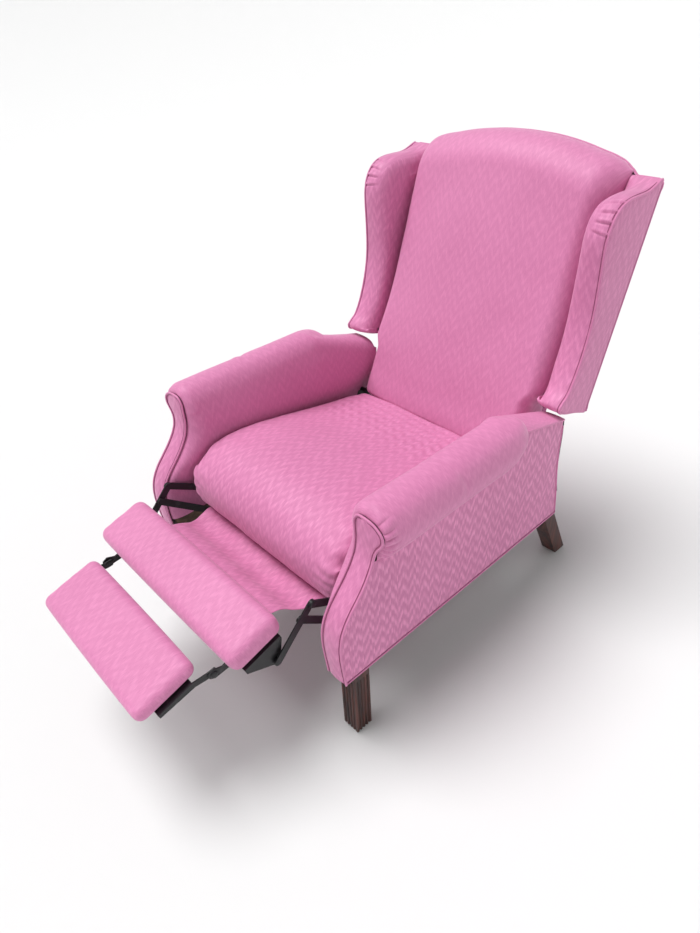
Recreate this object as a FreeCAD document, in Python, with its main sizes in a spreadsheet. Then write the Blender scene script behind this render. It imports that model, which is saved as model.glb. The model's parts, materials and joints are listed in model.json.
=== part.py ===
"""Wingback recliner with scroll arms and a two panel footrest, open, back partly reclined.

Frame: X to the sitter's left, -Y to the front, Z up from the floor. Each sub-part is one object
whose Label names its file in parts/. Lengths are millimetres and angles are degrees.
"""
import FreeCAD, Part
import math
import os
import re
import Sketcher
from FreeCAD import Vector

doc = FreeCAD.newDocument("recliner")
sheet = doc.addObject("Spreadsheet::Sheet", "Sizes")

SIZES = [
    ("frame_shift", 78.1, "moves the whole chair along Y so that its box is centred on the origin"),
    ("arm_outer", 360, "half width over the side panels"),
    ("arm_inner", 304, "inner face of the arm frame"),
    ("side_panel_thick", 18, "padding on the outside of the arm frame"),
    ("lining_thick", 12, "lining on the inside of the arm frame, low"),
    ("arm_pad_inner", 272, "inner face of the arm pad above the mechanism"),
    ("arm_pad_low", 388, "height where the arm pad starts to bulge over the mechanism"),
    ("arm_base", 202, "height of the arm's lower edge"),
    ("front_base", 401, "how far forward the arm's foot lies"),
    ("front_belly", 408, "how far forward the belly of the arm front lies"),
    ("belly_height", 300, "height of the belly"),
    ("shoulder_height", 360, "height where the arm front turns back"),
    ("waist_front", 349, "how far forward the arm front lies where its curve turns over"),
    ("waist_height", 430, "height of that turn"),
    ("front_neck", 305, "how far forward the neck under the scroll lies"),
    ("neck_height", 512, "height of the neck"),
    ("border_depth", 14, "depth of the padded front border"),
    ("roll_under", 479, "height of the underside of the arm roll"),
    ("roll_top", 603, "height of the top of the arm roll"),
    ("roll_outer", 391, "half width over the arm rolls"),
    ("roll_rear", 150, "where the arm roll ends"),
    ("head_top", 586, "height of the top of the scroll head"),
    ("head_outer", 379, "half width over the scroll heads"),
    ("shelf_front", 557, "height of the shelf behind the arm roll, at its front"),
    ("shelf_rear", 515, "height of that shelf at its rear"),
    ("arm_rear_top", 331, "rear edge of the arm, high"),
    ("arm_rear", 363, "rear edge of the arm, low"),
    ("leg_square", 44, "side of a leg's square section"),
    ("leg_top", 202, "height of the top of a leg"),
    ("glide_thick", 3, "thickness of the glide under a leg"),
    ("glide_radius", 14, "radius of a glide"),
    ("front_leg_outer", 359, "outer face of a front leg"),
    ("front_leg_front", 378, "how far forward a front leg's face lies"),
    ("flute_radius", 2.6, "radius of a flute"),
    ("flute_length", 178, "length of a flute"),
    ("rear_leg_outer", 349, "outer face of a rear leg"),
    ("rear_leg_top", 330, "front face of a rear leg at its top"),
    ("rear_leg_rake", 100, "how far a rear leg's foot lies behind its top"),
    ("rail_thick", 25, "thickness of a wooden cross rail"),
    ("rail_low", 208, "underside of the cross rails"),
    ("rail_high", 262, "top of the cross rails"),
    ("front_rail_at", 180, "how far forward the front cross rail lies"),
    ("rear_rail_at", 327, "front face of the rear cross rail"),
    ("cloth_thick", 1.5, "thickness of the black cloth"),
    ("cloth_top", 294, "top of the black cloth at the rear"),
    ("steel_thick", 3, "thickness of a steel link"),
    ("link_gap", 1, "gap between neighbouring links"),
    ("link_width", 18, "width of a link"),
    ("pin_radius", 5, "radius of a link pin"),
    ("pin_play", 0.05, "running clearance of a pin in its hole"),
    ("seat_rail_at", 280, "inner face of the steel seat rail"),
    ("seat_rail_low", 272, "underside of the seat rail"),
    ("seat_rail_high", 312, "top of the seat rail"),
    ("seat_rail_rear", 190, "rear end of the seat rail"),
    ("glide_rail_thick", 4, "thickness of the steel rail on the arm"),
    ("glide_rail_low", 268, "underside of the rail on the arm"),
    ("glide_rail_high", 330, "top of the rail on the arm"),
    ("glide_rail_front", 180, "how far forward the rail on the arm starts"),
    ("glide_rail_rear", 230, "rear end of the rail on the arm"),
    ("roller_radius", 8, "radius of a glide roller"),
    ("roller_front_at", 110, "how far forward the front roller lies"),
    ("roller_rear_at", 130, "place of the rear roller"),
    ("roller_height", 296, "height of the front roller"),
    ("glide_slope", 6, "rise of the seat's path to the front"),
    ("slot_back", 24, "length of a slot behind its roller"),
    ("slot_ahead", 40, "length of a slot ahead of its roller"),
    ("pivot_a_front", 235, "how far forward the upper link's rear pivot lies"),
    ("pivot_a_height", 285.4, "its height"),
    ("pivot_c_front", 290, "how far forward the lower link's rear pivot lies"),
    ("pivot_c_height", 241, "its height"),
    ("pivot_k_front", 404, "how far forward the knee lies"),
    ("pivot_k_height", 388, "its height"),
    ("pivot_b_front", 500, "how far forward the footrest bracket's pivot lies"),
    ("pivot_b_height", 292, "its height"),
    ("lower_link_share", 0.3, "place of the lower link's front end along the ottoman link"),
    ("panel_rear_front", 487, "how far forward the footrest's rear top edge lies"),
    ("panel_rear_height", 412, "its height"),
    ("panel_tilt", 16, "slope of the open footrest"),
    ("panel_half", 266, "half width of the footrest panel"),
    ("panel_depth", 118, "depth of the footrest panel"),
    ("panel_thick", 60, "thickness of the footrest panel"),
    ("panel_crown", 9, "crown of the footrest panel"),
    ("flip_half", 201, "half width of the flip-out panel"),
    ("flip_gap", 50, "gap between the two panels"),
    ("flip_depth", 134, "depth of the flip-out panel"),
    ("flip_thick", 40, "thickness of the flip-out panel"),
    ("flip_crown", 6, "crown of the flip-out panel"),
    ("flip_pivot_along", 150, "flip-out pivot ahead of the footrest's rear edge"),
    ("flip_pivot_below", 60, "flip-out pivot below the footrest's top"),
    ("board_thick", 12, "thickness of a footrest board"),
    ("board_inset", 14, "how far a board lies inside its pad"),
    ("bracket_outer_at", 264, "inner face of the footrest bracket's outer leg"),
    ("bracket_inner_at", 219, "inner face of the footrest bracket's inner leg"),
    ("seat_half", 265, "half width of the seat cushion"),
    ("seat_front", 316, "how far forward the seat cushion's lower front edge lies"),
    ("seat_rear", 245, "rear end of the seat cushion"),
    ("seat_under", 303, "underside of the seat frame and of the cushion's front"),
    ("seat_top_front", 400, "height of the cushion's front corners"),
    ("seat_top_rear", 386, "height of the cushion's rear corners"),
    ("seat_crown", 34, "crown of the seat cushion"),
    ("seat_bulge", 15, "bulge of the cushion's front"),
    ("seat_frame_half", 262, "half width of the seat frame"),
    ("seat_frame_front", 290, "how far forward the seat frame reaches"),
    ("seat_frame_rear", 240, "rear end of the seat frame"),
    ("seat_frame_high", 342, "top of the seat frame"),
    ("seat_rail_wood", 25, "thickness of the seat frame's rails"),
    ("spring_wire", 1.8, "radius of the seat spring wire"),
    ("spring_reach", 20, "half width of a sinuous spring's straight runs"),
    ("spring_pitch", 20, "distance between two runs"),
    ("spring_count", 5, "number of seat springs"),
    ("spring_step", 92, "distance between two seat springs"),
    ("flap_half", 215, "half width of the footrest's fabric flap"),
    ("flap_thick", 3, "thickness of the flap"),
    ("back_tilt", 17.8, "lean of the back from upright"),
    ("back_foot", 439, "rear face of the back at its lower edge"),
    ("back_foot_height", 484, "height of that edge"),
    ("back_height", 538, "length of the outside back to the shoulders"),
    ("crest_rise", 65, "rise of the arched crest over the shoulders"),
    ("back_half", 358, "half width of the outside back"),
    ("outside_back_thick", 14, "thickness of the outside back panel"),
    ("post_outer", 262, "outer face of a back post"),
    ("post_wide", 26, "width of a back post"),
    ("post_deep", 38, "depth of a back post"),
    ("post_low", 150, "how far a back post reaches below the outside back"),
    ("post_high", 480, "top of a back post"),
    ("back_rail_high", 40, "height of a back rail"),
    ("web_thick", 2, "thickness of the webbing"),
    ("web_wide", 50, "width of a webbing strap"),
    ("web_count", 5, "number of webbing straps"),
    ("back_cushion_front", 128, "front of the back cushion ahead of the outside back"),
    ("back_cushion_low", 130, "how far the back cushion reaches below the outside back"),
    ("back_cushion_half", 288, "half width of the back cushion above the arms"),
    ("back_cushion_narrow", 262, "half width of the back cushion between the arms"),
    ("back_shoulder", 124, "height on the back where the cushion widens"),
    ("wing_inner", 290.3, "inner face of a wing"),
    ("wing_frame_at", 330, "inner face of the wing frame"),
    ("wing_frame_thick", 12, "thickness of the wing frame"),
    ("back_pivot_at", 278, "place of the back pivot along Y"),
    ("back_pivot_height", 372, "height of the back pivot"),
    ("stud_radius", 6, "radius of the back pivot stud"),
]
ALIASES = {name for name, value, note in SIZES}

for row, (alias, number, note) in enumerate(SIZES, start=1):
    sheet.set(f"A{row}", alias)
    sheet.set(f"B{row}", str(number))
    sheet.set(f"C{row}", note)
    sheet.setAlias(f"B{row}", alias)
doc.recompute()


def bound(text):
    """The expression with every alias pointed at the sheet."""
    return re.sub(r"[a-z]+(?:_[a-z]+)+", lambda m: "Sizes." + m[0] if m[0] in ALIASES else m[0], text)


def val(text):
    """The number that an expression of aliases has now."""
    return float(sheet.evalExpression(bound(text)))


def bind(obj, prop, text):
    obj.setExpression(prop, bound(text))


def add(kind, name):
    obj = doc.addObject(kind, name)
    obj.Label = name
    return obj


def solid_feature(name, shape, placement=None):
    """A sub-part whose shape comes from Part's own functions."""
    obj = add("Part::Feature", name)
    obj.Shape = shape
    obj.Placement = placement or FreeCAD.Placement()
    return obj


def box(name, x, y, z, wide, deep, high):
    obj = add("Part::Box", name)
    for prop, text in (("Length", wide), ("Width", deep), ("Height", high),
                       ("Placement.Base.x", x), ("Placement.Base.y", y), ("Placement.Base.z", z)):
        bind(obj, prop, text)
    return obj


def rod(name, x, length, y, z, radius):
    """A round bar along X that starts at x."""
    obj = add("Part::Cylinder", name)
    obj.Placement.Rotation = FreeCAD.Rotation(Vector(0, 1, 0), 90)
    for prop, text in (("Radius", radius), ("Height", length), ("Placement.Base.x", x),
                       ("Placement.Base.y", y), ("Placement.Base.z", z)):
        bind(obj, prop, text)
    return obj


def fuse(name, pieces):
    obj = add("Part::MultiFuse", name)
    obj.Shapes = pieces
    return obj


def cut(name, base, tool):
    obj = add("Part::Cut", name)
    obj.Base = base
    obj.Tool = tool
    return obj


def group(name, pieces):
    obj = add("Part::Compound", name)
    obj.Links = pieces
    return obj


def sketch_on(body, role, name):
    plane = [f for f in body.Origin.OriginFeatures if f.Role == role][0]
    sk = body.newObject("Sketcher::SketchObject", name)
    sk.AttachmentSupport = [(plane, "")]
    sk.MapMode = "FlatFace"
    return sk


def fix_point(sk, geo, pos, across, up):
    """Ties a point of the sketch to two expressions, measured from the sketch's origin."""
    for kind, text in (("DistanceX", across), ("DistanceY", up)):
        index = sk.addConstraint(Sketcher.Constraint(kind, -1, 1, geo, pos, val(text)))
        bind(sk, f"Constraints[{index}]", text)


def polygon(sk, points):
    """A closed outline through points given as pairs of expressions."""
    spots = [Vector(val(a), val(b), 0) for a, b in points]
    first = sk.GeometryCount
    for i, spot in enumerate(spots):
        sk.addGeometry(Part.LineSegment(spot, spots[(i + 1) % len(spots)]))
    for i, (a, b) in enumerate(points):
        after = first + (i - 1) % len(points)
        sk.addConstraint(Sketcher.Constraint("Coincident", after, 2, first + i, 1))
        fix_point(sk, first + i, 1, a, b)


def circle(sk, across, up, radius):
    geo = sk.addGeometry(Part.Circle(Vector(val(across), val(up), 0), Vector(0, 0, 1), val(radius)))
    fix_point(sk, geo, 3, across, up)
    index = sk.addConstraint(Sketcher.Constraint("Radius", geo, val(radius)))
    bind(sk, f"Constraints[{index}]", radius)


def slot(sk, length, radius, start="0"):
    """A round ended slot along the sketch's X axis from start to start + length."""
    r = val(radius)
    x0 = val(start)
    x1 = val(f"{start} + {length}")
    near = sk.addGeometry(Part.ArcOfCircle(Part.Circle(Vector(x0, 0, 0), Vector(0, 0, 1), r),
                                           math.pi / 2, 3 * math.pi / 2))
    far = sk.addGeometry(Part.ArcOfCircle(Part.Circle(Vector(x1, 0, 0), Vector(0, 0, 1), r),
                                          -math.pi / 2, math.pi / 2))
    low = sk.addGeometry(Part.LineSegment(Vector(x0, -r, 0), Vector(x1, -r, 0)))
    top = sk.addGeometry(Part.LineSegment(Vector(x1, r, 0), Vector(x0, r, 0)))
    for line, pos, arc, end in ((low, 1, near, 2), (low, 2, far, 1), (top, 1, far, 2), (top, 2, near, 1)):
        sk.addConstraint(Sketcher.Constraint("Tangent", line, pos, arc, end))
    sk.addConstraint(Sketcher.Constraint("PointOnObject", near, 3, -1))
    sk.addConstraint(Sketcher.Constraint("PointOnObject", far, 3, -1))
    for arc, text in ((near, start), (far, f"{start} + {length}")):
        index = sk.addConstraint(Sketcher.Constraint("DistanceX", -1, 1, arc, 3, val(text)))
        bind(sk, f"Constraints[{index}]", text)
    index = sk.addConstraint(Sketcher.Constraint("Radius", near, r))
    bind(sk, f"Constraints[{index}]", radius)


def new_body(name):
    body = add("PartDesign::Body", name)
    return body


def pad(body, sk, length):
    feature = body.newObject("PartDesign::Pad", body.Name + "_pad")
    feature.Profile = sk
    bind(feature, "Length", length)
    return feature


def pocket(body, sk, length, reverse=False):
    feature = body.newObject("PartDesign::Pocket", body.Name + "_pocket")
    feature.Profile = sk
    feature.Reversed = reverse
    bind(feature, "Length", length)
    return feature


def place(obj, x="0", y="0", z="0", angle=None):
    """Puts an object by expressions; the angle turns it about X."""
    if angle is not None:
        obj.Placement.Rotation = FreeCAD.Rotation(Vector(1, 0, 0), val(angle))
        bind(obj, "Placement.Rotation.Angle", angle)
    bind(obj, "Placement.Base.x", x)
    bind(obj, "Placement.Base.y", y)
    bind(obj, "Placement.Base.z", z)


def plate(name, outline, x, thick, holes=(), y="0", z="0", angle=None):
    """A flat plate square to X, with its outline and holes in the plane of Y and Z."""
    body = new_body(name)
    sk = sketch_on(body, "YZ_Plane", name + "_outline")
    polygon(sk, outline)
    for across, up, radius in holes:
        circle(sk, across, up, radius)
    pad(body, sk, thick)
    place(body, x, y, z, angle)
    return body


def mirrored_x(side, inner, thick):
    """Where a plate starts along X on the left (1) or the right (-1) side."""
    return inner if side > 0 else f"-({inner}) - ({thick})"


SIDES = (("left", 1), ("right", -1))


def arc(a, b, c):
    return Part.Arc(Vector(*a), Vector(*b), Vector(*c)).toShape()


def line(a, b):
    return Part.LineSegment(Vector(*a), Vector(*b)).toShape()


def prism(edges, direction):
    return Part.Face(Part.Wire(edges)).extrude(Vector(*direction))


def mirror_x(shape):
    return shape.mirror(Vector(0, 0, 0), Vector(1, 0, 0))


def front_curve(x, back):
    """The S curve of the arm front as three arcs, moved back by a distance."""
    foot = (x, back - val("front_base"), val("arm_base"))
    belly = (x, back - val("front_belly"), val("belly_height"))
    shoulder = (x, back - val("front_base") + 1, val("shoulder_height"))
    turn = (x, back - val("waist_front") - 29, (val("shoulder_height") + val("waist_height")) / 2 + 4)
    waist = (x, back - val("waist_front"), val("waist_height"))
    bend = (x, back - (val("waist_front") + 2 * val("front_neck")) / 3 - 1,
            (val("waist_height") + val("neck_height")) / 2 - 6)
    neck = (x, back - val("front_neck"), val("neck_height"))
    return [arc(foot, belly, shoulder), arc(shoulder, turn, waist), arc(waist, bend, neck)], foot, neck


def arm_prism(x_low, x_high, back, low, front_stop=None):
    """The arm's side outline behind its front curve, between two X planes, above a height."""
    edges, foot, neck = front_curve(x_low, back)
    under = (x_low, neck[1], val("roll_under"))
    roll_end = (x_low, val("roll_rear"), val("roll_under"))
    shelf_a = (x_low, val("roll_rear") + 0.5, val("shelf_front"))
    shelf_b = (x_low, val("arm_rear_top") - 8, val("shelf_rear"))
    rear_a = (x_low, val("arm_rear_top"), val("shelf_rear") - 12)
    rear_b = (x_low, val("arm_rear_top"), val("roll_under") - 60)
    rear_c = (x_low, val("arm_rear"), val("arm_base"))
    top = (x_low, neck[1], neck[2])
    edges = edges + [line(top, (x_low, neck[1] + 0.5, neck[2])),
                     line((x_low, neck[1] + 0.5, neck[2]), (x_low, val("roll_rear"), neck[2])),
                     line((x_low, val("roll_rear"), neck[2]), shelf_a),
                     line(shelf_a, shelf_b), line(shelf_b, rear_a), line(rear_a, rear_b),
                     line(rear_b, rear_c), line(rear_c, foot)]
    body = prism(edges, (x_high - x_low, 0, 0))
    above = Part.makeBox(x_high - x_low + 2, 2000, 2000,
                         Vector(x_low - 1, -1000 + under[1] * 0, val("roll_under")))
    keep_rear = Part.makeBox(x_high - x_low + 2, 2000, 2000, Vector(x_low - 1, roll_end[1] + 0.5, 0))
    body = body.cut(above.cut(keep_rear))
    if low > val("arm_base"):
        body = body.common(Part.makeBox(x_high - x_low + 2, 2000, 2000, Vector(x_low - 1, -1000, low)))
    return body


def arm_pieces(side_name, side):
    """Frame, inner pad, side panel, front border and roll of one arm."""
    back = val("border_depth")
    frame = arm_prism(val("arm_inner"), val("arm_outer - side_panel_thick"), back, val("leg_top"))
    panel = arm_prism(val("arm_outer - side_panel_thick"), val("arm_outer"), back, val("arm_base"))
    lining = arm_prism(val("arm_inner - lining_thick"), val("arm_inner"), back, val("rail_high + 3"))
    bulge = arm_prism(val("arm_pad_inner"), val("arm_inner - lining_thick"), back + val("border_depth"),
                      val("arm_pad_low"))
    inner = lining.fuse(bulge).removeSplitter()
    front, foot, neck = front_curve(val("arm_inner"), 0)
    rear, foot_in, neck_in = front_curve(val("arm_inner"), back)
    strip = prism(front + [line(neck, neck_in)] + rear[::-1] + [line(foot_in, foot)],
                  (val("arm_outer - arm_inner"), 0, 0))
    border = strip.fuse(scroll_head(back)).removeSplitter()
    roll = arm_roll(back)
    made = {"arm_frame": frame, "arm_inner_pad": inner, "arm_side_panel": panel,
            "arm_front_border": border, "arm_roll": roll}
    for name, shape in made.items():
        solid_feature(f"{name}_{side_name}", shape if side > 0 else mirror_x(shape))


def scroll_head(depth):
    """The mushroom shaped head that ends the arm roll at the front."""
    y = -val("front_neck")
    inner = val("arm_inner")
    outer = val("head_outer")
    top = val("head_top")
    low = val("neck_height - 8")
    edges = [line((inner, y, low), (inner, y, top - 30)),
             arc((inner, y, top - 30), ((inner + outer) / 2 - 6, y, top), (outer, y, top - 27)),
             arc((outer, y, top - 27), (outer - 1, y, top - 46), (outer - 14, y, top - 58)),
             line((outer - 14, y, top - 58), (val("arm_outer"), y, low)),
             line((val("arm_outer"), y, low), (inner, y, low))]
    return prism(edges, (0, depth, 0))


def roll_section(y, share):
    """The arm roll's cross section at y, shrunk by share about the middle of its underside."""
    inner = val("arm_pad_inner + 4")
    outer = val("roll_outer")
    top = val("roll_top")
    low = val("roll_under") + 0.3
    mid = (inner + outer) / 2

    def spot(x, z):
        return (mid + (x - mid) * share, y, low + (z - low) * share)

    return Part.Wire([
        line(spot(inner, low), spot(inner, low + 69)),
        arc(spot(inner, low + 69), spot(inner + 22, top - 11), spot(mid, top)),
        arc(spot(mid, top), spot(outer - 13, top - 17), spot(outer, low + 66)),
        arc(spot(outer, low + 66), spot(outer - 7, low + 21), spot(val("arm_outer"), low)),
        line(spot(val("arm_outer"), low), spot(inner, low))])


def arm_roll(back):
    start = back - val("front_neck")
    end = val("roll_rear")
    sections = [roll_section(start, 0.97), roll_section(start + 14, 1), roll_section(end - 45, 1),
                roll_section(end - 16, 0.94), roll_section(end, 0.76)]
    return Part.makeLoft(sections, True, True)


def front_leg(side_name, side):
    """A square leg with four flutes on each face."""
    body = new_body(f"front_leg_{side_name}")
    sk = sketch_on(body, "XY_Plane", body.Name + "_square")
    half = "leg_square / 2"
    polygon(sk, [(f"-{half}", f"-{half}"), (half, f"-{half}"), (half, half), (f"-{half}", half)])
    pad(body, sk, "leg_top - glide_thick")
    flutes = sketch_on(body, "XY_Plane", body.Name + "_flutes")
    for k in (-3, -1, 1, 3):
        along = f"{k} * leg_square / 9.5"
        for a, b in ((along, half), (along, f"-{half}"), (half, along), (f"-{half}", along)):
            circle(flutes, a, b, "flute_radius")
    pocket(body, flutes, "flute_length", reverse=True)
    place(body, f"{side} * (front_leg_outer - {half})", f"{half} - front_leg_front", "glide_thick")
    return body


def rear_leg(side_name, side):
    """A plain square leg that rakes backwards."""
    body = new_body(f"rear_leg_{side_name}")
    half = "leg_square / 2"
    low = sketch_on(body, "XY_Plane", body.Name + "_foot")
    polygon(low, [(f"-{half}", f"rear_leg_rake - {half}"), (half, f"rear_leg_rake - {half}"),
                  (half, f"rear_leg_rake + {half}"), (f"-{half}", f"rear_leg_rake + {half}")])
    high = sketch_on(body, "XY_Plane", body.Name + "_head")
    bind(high, "AttachmentOffset.Base.z", "leg_top - glide_thick")
    polygon(high, [(f"-{half}", f"-{half}"), (half, f"-{half}"), (half, half), (f"-{half}", half)])
    loft = body.newObject("PartDesign::AdditiveLoft", body.Name + "_loft")
    loft.Profile = low
    loft.Sections = [high]
    loft.Ruled = True
    place(body, f"{side} * (rear_leg_outer - {half})", f"rear_leg_top + {half}", "glide_thick")
    return body


def leg_glides():
    """Four round glides, one under each leg."""
    half = "leg_square / 2"
    made = []
    for side_name, side in SIDES:
        for end, across, along in (
                ("front", f"{side} * (front_leg_outer - {half})", f"{half} - front_leg_front"),
                ("rear", f"{side} * (rear_leg_outer - {half})", f"rear_leg_top + rear_leg_rake + {half}")):
            disc = add("Part::Cylinder", f"glide_{end}_{side_name}")
            bind(disc, "Radius", "glide_radius")
            bind(disc, "Height", "glide_thick")
            bind(disc, "Placement.Base.x", across)
            bind(disc, "Placement.Base.y", along)
            made.append(disc)
    group("leg_glides", made)


def base_pieces():
    """Cross rails between the arms, and the black cloth at the rear."""
    box("base_front_rail", "-arm_inner", "-front_rail_at", "rail_low",
        "2 * arm_inner", "rail_thick", "rail_high - rail_low")
    box("base_rear_rail", "-arm_inner", "rear_rail_at", "rail_low",
        "2 * arm_inner", "rail_thick", "rail_high - rail_low")
    box("rear_cloth", "lining_thick - arm_inner", "rear_rail_at + rail_thick", "rail_low + 6",
        "2 * (arm_inner - lining_thick)", "cloth_thick", "cloth_top - rail_low - 6")


def glide_rail(side_name, side):
    """The steel rail on the arm, with two sloping slots for the seat's rollers."""
    at = "arm_inner - lining_thick - glide_rail_thick"
    body = new_body(f"glide_rail_{side_name}")
    sk = sketch_on(body, "YZ_Plane", body.Name + "_outline")
    polygon(sk, [("-glide_rail_front", "glide_rail_low"), ("glide_rail_rear", "glide_rail_low"),
                 ("glide_rail_rear", "glide_rail_high"), ("-glide_rail_front", "glide_rail_high")])
    pad(body, sk, "glide_rail_thick")
    for spot, height in roller_spots():
        hole = sketch_on(body, "YZ_Plane", f"{body.Name}_slot")
        hole.AttachmentOffset = FreeCAD.Placement(
            Vector(val(spot), val(height), 0), FreeCAD.Rotation(Vector(0, 0, 1), -val("glide_slope")))
        bind(hole, "AttachmentOffset.Base.x", spot)
        bind(hole, "AttachmentOffset.Base.y", height)
        bind(hole, "AttachmentOffset.Rotation.Angle", "-glide_slope")
        slot(hole, "slot_ahead + slot_back", "roller_radius + pin_play", "-slot_ahead")
        pocket(body, hole, "glide_rail_thick", reverse=True)
    place(body, mirrored_x(side, at, "glide_rail_thick"))
    return body


def roller_spots():
    """Each roller's place and height at rest, on one sloping line."""
    drop = "tan(glide_slope) * (roller_rear_at + roller_front_at)"
    return (("-roller_front_at", "roller_height"), ("roller_rear_at", f"roller_height - {drop}"))


def glide_rollers():
    """Four rollers on the seat rails."""
    made = []
    for side_name, side in SIDES:
        start = "seat_rail_at + steel_thick"
        long = "arm_inner - lining_thick - 0.5 - seat_rail_at - steel_thick"
        for end, (spot, height) in zip(("front", "rear"), roller_spots()):
            made.append(rod(f"roller_{end}_{side_name}", mirrored_x(side, start, long), long,
                            spot, height, "roller_radius"))
    group("glide_rollers", made)


def back_pivot_bracket(side_name, side):
    """A plate on the arm with the stud that the back turns on."""
    at = "arm_inner - lining_thick - glide_rail_thick"
    y, z = "back_pivot_at", "back_pivot_height"
    outline = [(f"{y} - 14", f"{z} + 8"), (f"{y} - 8", f"{z} + 14"), (f"{y} + 8", f"{z} + 14"),
               (f"{y} + 14", f"{z} + 8"), (f"{y} + 26", f"{z} - 70"), (f"{y} - 26", f"{z} - 70")]
    arm = plate(f"pivot_plate_{side_name}", outline, mirrored_x(side, at, "glide_rail_thick"),
                "glide_rail_thick")
    start = "post_outer - 1"
    long = f"{at} + 1 - post_outer"
    stud = rod(f"pivot_stud_{side_name}", mirrored_x(side, start, long), long, y, z, "stud_radius")
    fuse(f"back_pivot_bracket_{side_name}", [arm, stud])


def link_bar(name, side, inner, start, end, holes):
    """A round ended steel bar from one pivot to another, with holes at shares of its length."""
    (y0, z0), (y1, z1) = start, end
    length = f"sqrt(({y1} - ({y0}))^2 + ({z1} - ({z0}))^2)"
    angle = f"atan2({z1} - ({z0}); {y1} - ({y0}))"
    body = new_body(name)
    sk = sketch_on(body, "YZ_Plane", name + "_bar")
    slot(sk, length, "link_width / 2")
    for share, radius in holes:
        circle(sk, f"{share} * {length}", "0", radius)
    pad(body, sk, "steel_thick")
    place(body, mirrored_x(side, inner, "steel_thick"), y0, z0, angle)
    return body


PIVOT_A = ("-pivot_a_front", "pivot_a_height")
PIVOT_C = ("-pivot_c_front", "pivot_c_height")
PIVOT_K = ("-pivot_k_front", "pivot_k_height")
PIVOT_B = ("-pivot_b_front", "pivot_b_height")
PIVOT_S = ("-(pivot_k_front + lower_link_share * (pivot_b_front - pivot_k_front))",
           "pivot_k_height + lower_link_share * (pivot_b_height - pivot_k_height)")

LAYER_UPPER = "seat_rail_at - link_gap - steel_thick"
LAYER_OTTOMAN = "seat_rail_at - 2 * (link_gap + steel_thick)"
LAYER_LOWER = "seat_rail_at - 3 * (link_gap + steel_thick)"


def seat_rail(side_name, side):
    """The steel rail under the seat, with the two rear pivots of the links and two foot tabs."""
    outline = [("-pivot_c_front - 13", "pivot_c_height - 4"), ("-pivot_c_front - 6", "pivot_c_height - 12"),
               ("-pivot_c_front + 8", "pivot_c_height - 12"), ("-pivot_a_front + 4", "seat_rail_low"),
               ("seat_rail_rear", "seat_rail_low"), ("seat_rail_rear", "seat_rail_high"),
               ("-pivot_a_front - 6", "seat_rail_high"), ("-pivot_a_front - 20", "seat_rail_high - 12"),
               ("-pivot_c_front - 12", "pivot_c_height + 10")]
    holes = [PIVOT_A + ("pin_radius + pin_play",), PIVOT_C + ("pin_radius + pin_play",)]
    rail = plate(f"seat_rail_plate_{side_name}", outline,
                 mirrored_x(side, "seat_rail_at", "steel_thick"), "steel_thick", holes)
    wide = "seat_rail_at - seat_frame_half"
    tabs = [box(f"seat_rail_tab_{end}_{side_name}", mirrored_x(side, "seat_frame_half", wide), at,
                "seat_under", wide, "30", "seat_rail_high - seat_under")
            for end, at in (("front", "-150"), ("rear", "120"))]
    fuse(f"seat_rail_{side_name}", [rail] + tabs)


def seat_frame_pieces():
    """The wooden frame under the seat cushion."""
    high = "seat_frame_high - seat_under"
    long = "seat_frame_rear + seat_frame_front - 2 * seat_rail_wood"
    group("seat_side_rails", [
        box(f"seat_side_rail_{side_name}",
            mirrored_x(side, "seat_frame_half - seat_rail_wood", "seat_rail_wood"),
            "seat_rail_wood - seat_frame_front", "seat_under", "seat_rail_wood", long, high)
        for side_name, side in SIDES])
    for end, at in (("front", "-seat_frame_front"), ("rear", "seat_frame_rear - seat_rail_wood")):
        box(f"seat_{end}_rail", "-seat_frame_half", at, "seat_under", "2 * seat_frame_half",
            "seat_rail_wood", high)


def sinuous_spring():
    """One zigzag spring across the seat frame, as a tube along straight runs and half turns."""
    radius = val("spring_wire")
    reach = val("spring_reach")
    pitch = val("spring_pitch")
    z = val("seat_frame_high") + radius
    first = -val("seat_frame_front") + 8
    runs = int((val("seat_frame_rear") - 8 - first) / pitch)
    edges = []
    for k in range(runs):
        y = first + k * pitch
        turn = 1 if k % 2 else -1
        edges.append(line((turn * -reach, y, z), (turn * reach, y, z)))
        if k < runs - 1:
            edges.append(arc((turn * reach, y, z), (turn * (reach + pitch / 2), y + pitch / 2, z),
                             (turn * reach, y + pitch, z)))
    start = edges[0].Vertexes[0].Point
    ring = Part.Wire(Part.makeCircle(radius, start, Vector(1, 0, 0)))
    path = Part.Wire(edges)
    tube = path.makePipeShell([ring], True, False)
    print("spring volume", round(tube.Volume), "section times length",
          round(math.pi * radius ** 2 * path.Length))
    return tube


def seat_springs():
    one = sinuous_spring()
    count = int(val("spring_count"))
    made = []
    for k in range(count):
        copy = one.copy()
        copy.translate(Vector((k - (count - 1) / 2) * val("spring_step"), 0, 0))
        made.append(copy)
    solid_feature("seat_springs", Part.makeCompound(made))


def seat_section(x, crown, bulge, lift):
    """The seat cushion's section at x: a boxed top with a front roll that hangs over the frame."""
    under = val("seat_under")
    deck = val("seat_frame_high + 4")
    front = -val("seat_front")
    inner = -val("seat_frame_front") - 3
    rear = val("seat_rear")
    top_f = val("seat_top_front") + lift
    top_r = val("seat_top_rear") + lift
    mid = (front + rear) / 2
    return Part.Wire([
        line((x, front + 8, under), (x, inner, under)),
        line((x, inner, under), (x, inner, deck)),
        line((x, inner, deck), (x, rear, deck)),
        line((x, rear, deck), (x, rear, top_r)),
        arc((x, rear, top_r), (x, mid, (top_f + top_r) / 2 + crown), (x, front + 12, top_f)),
        arc((x, front + 12, top_f), (x, front - bulge, (top_f + under) / 2 + 6), (x, front + 8, under))])


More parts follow.
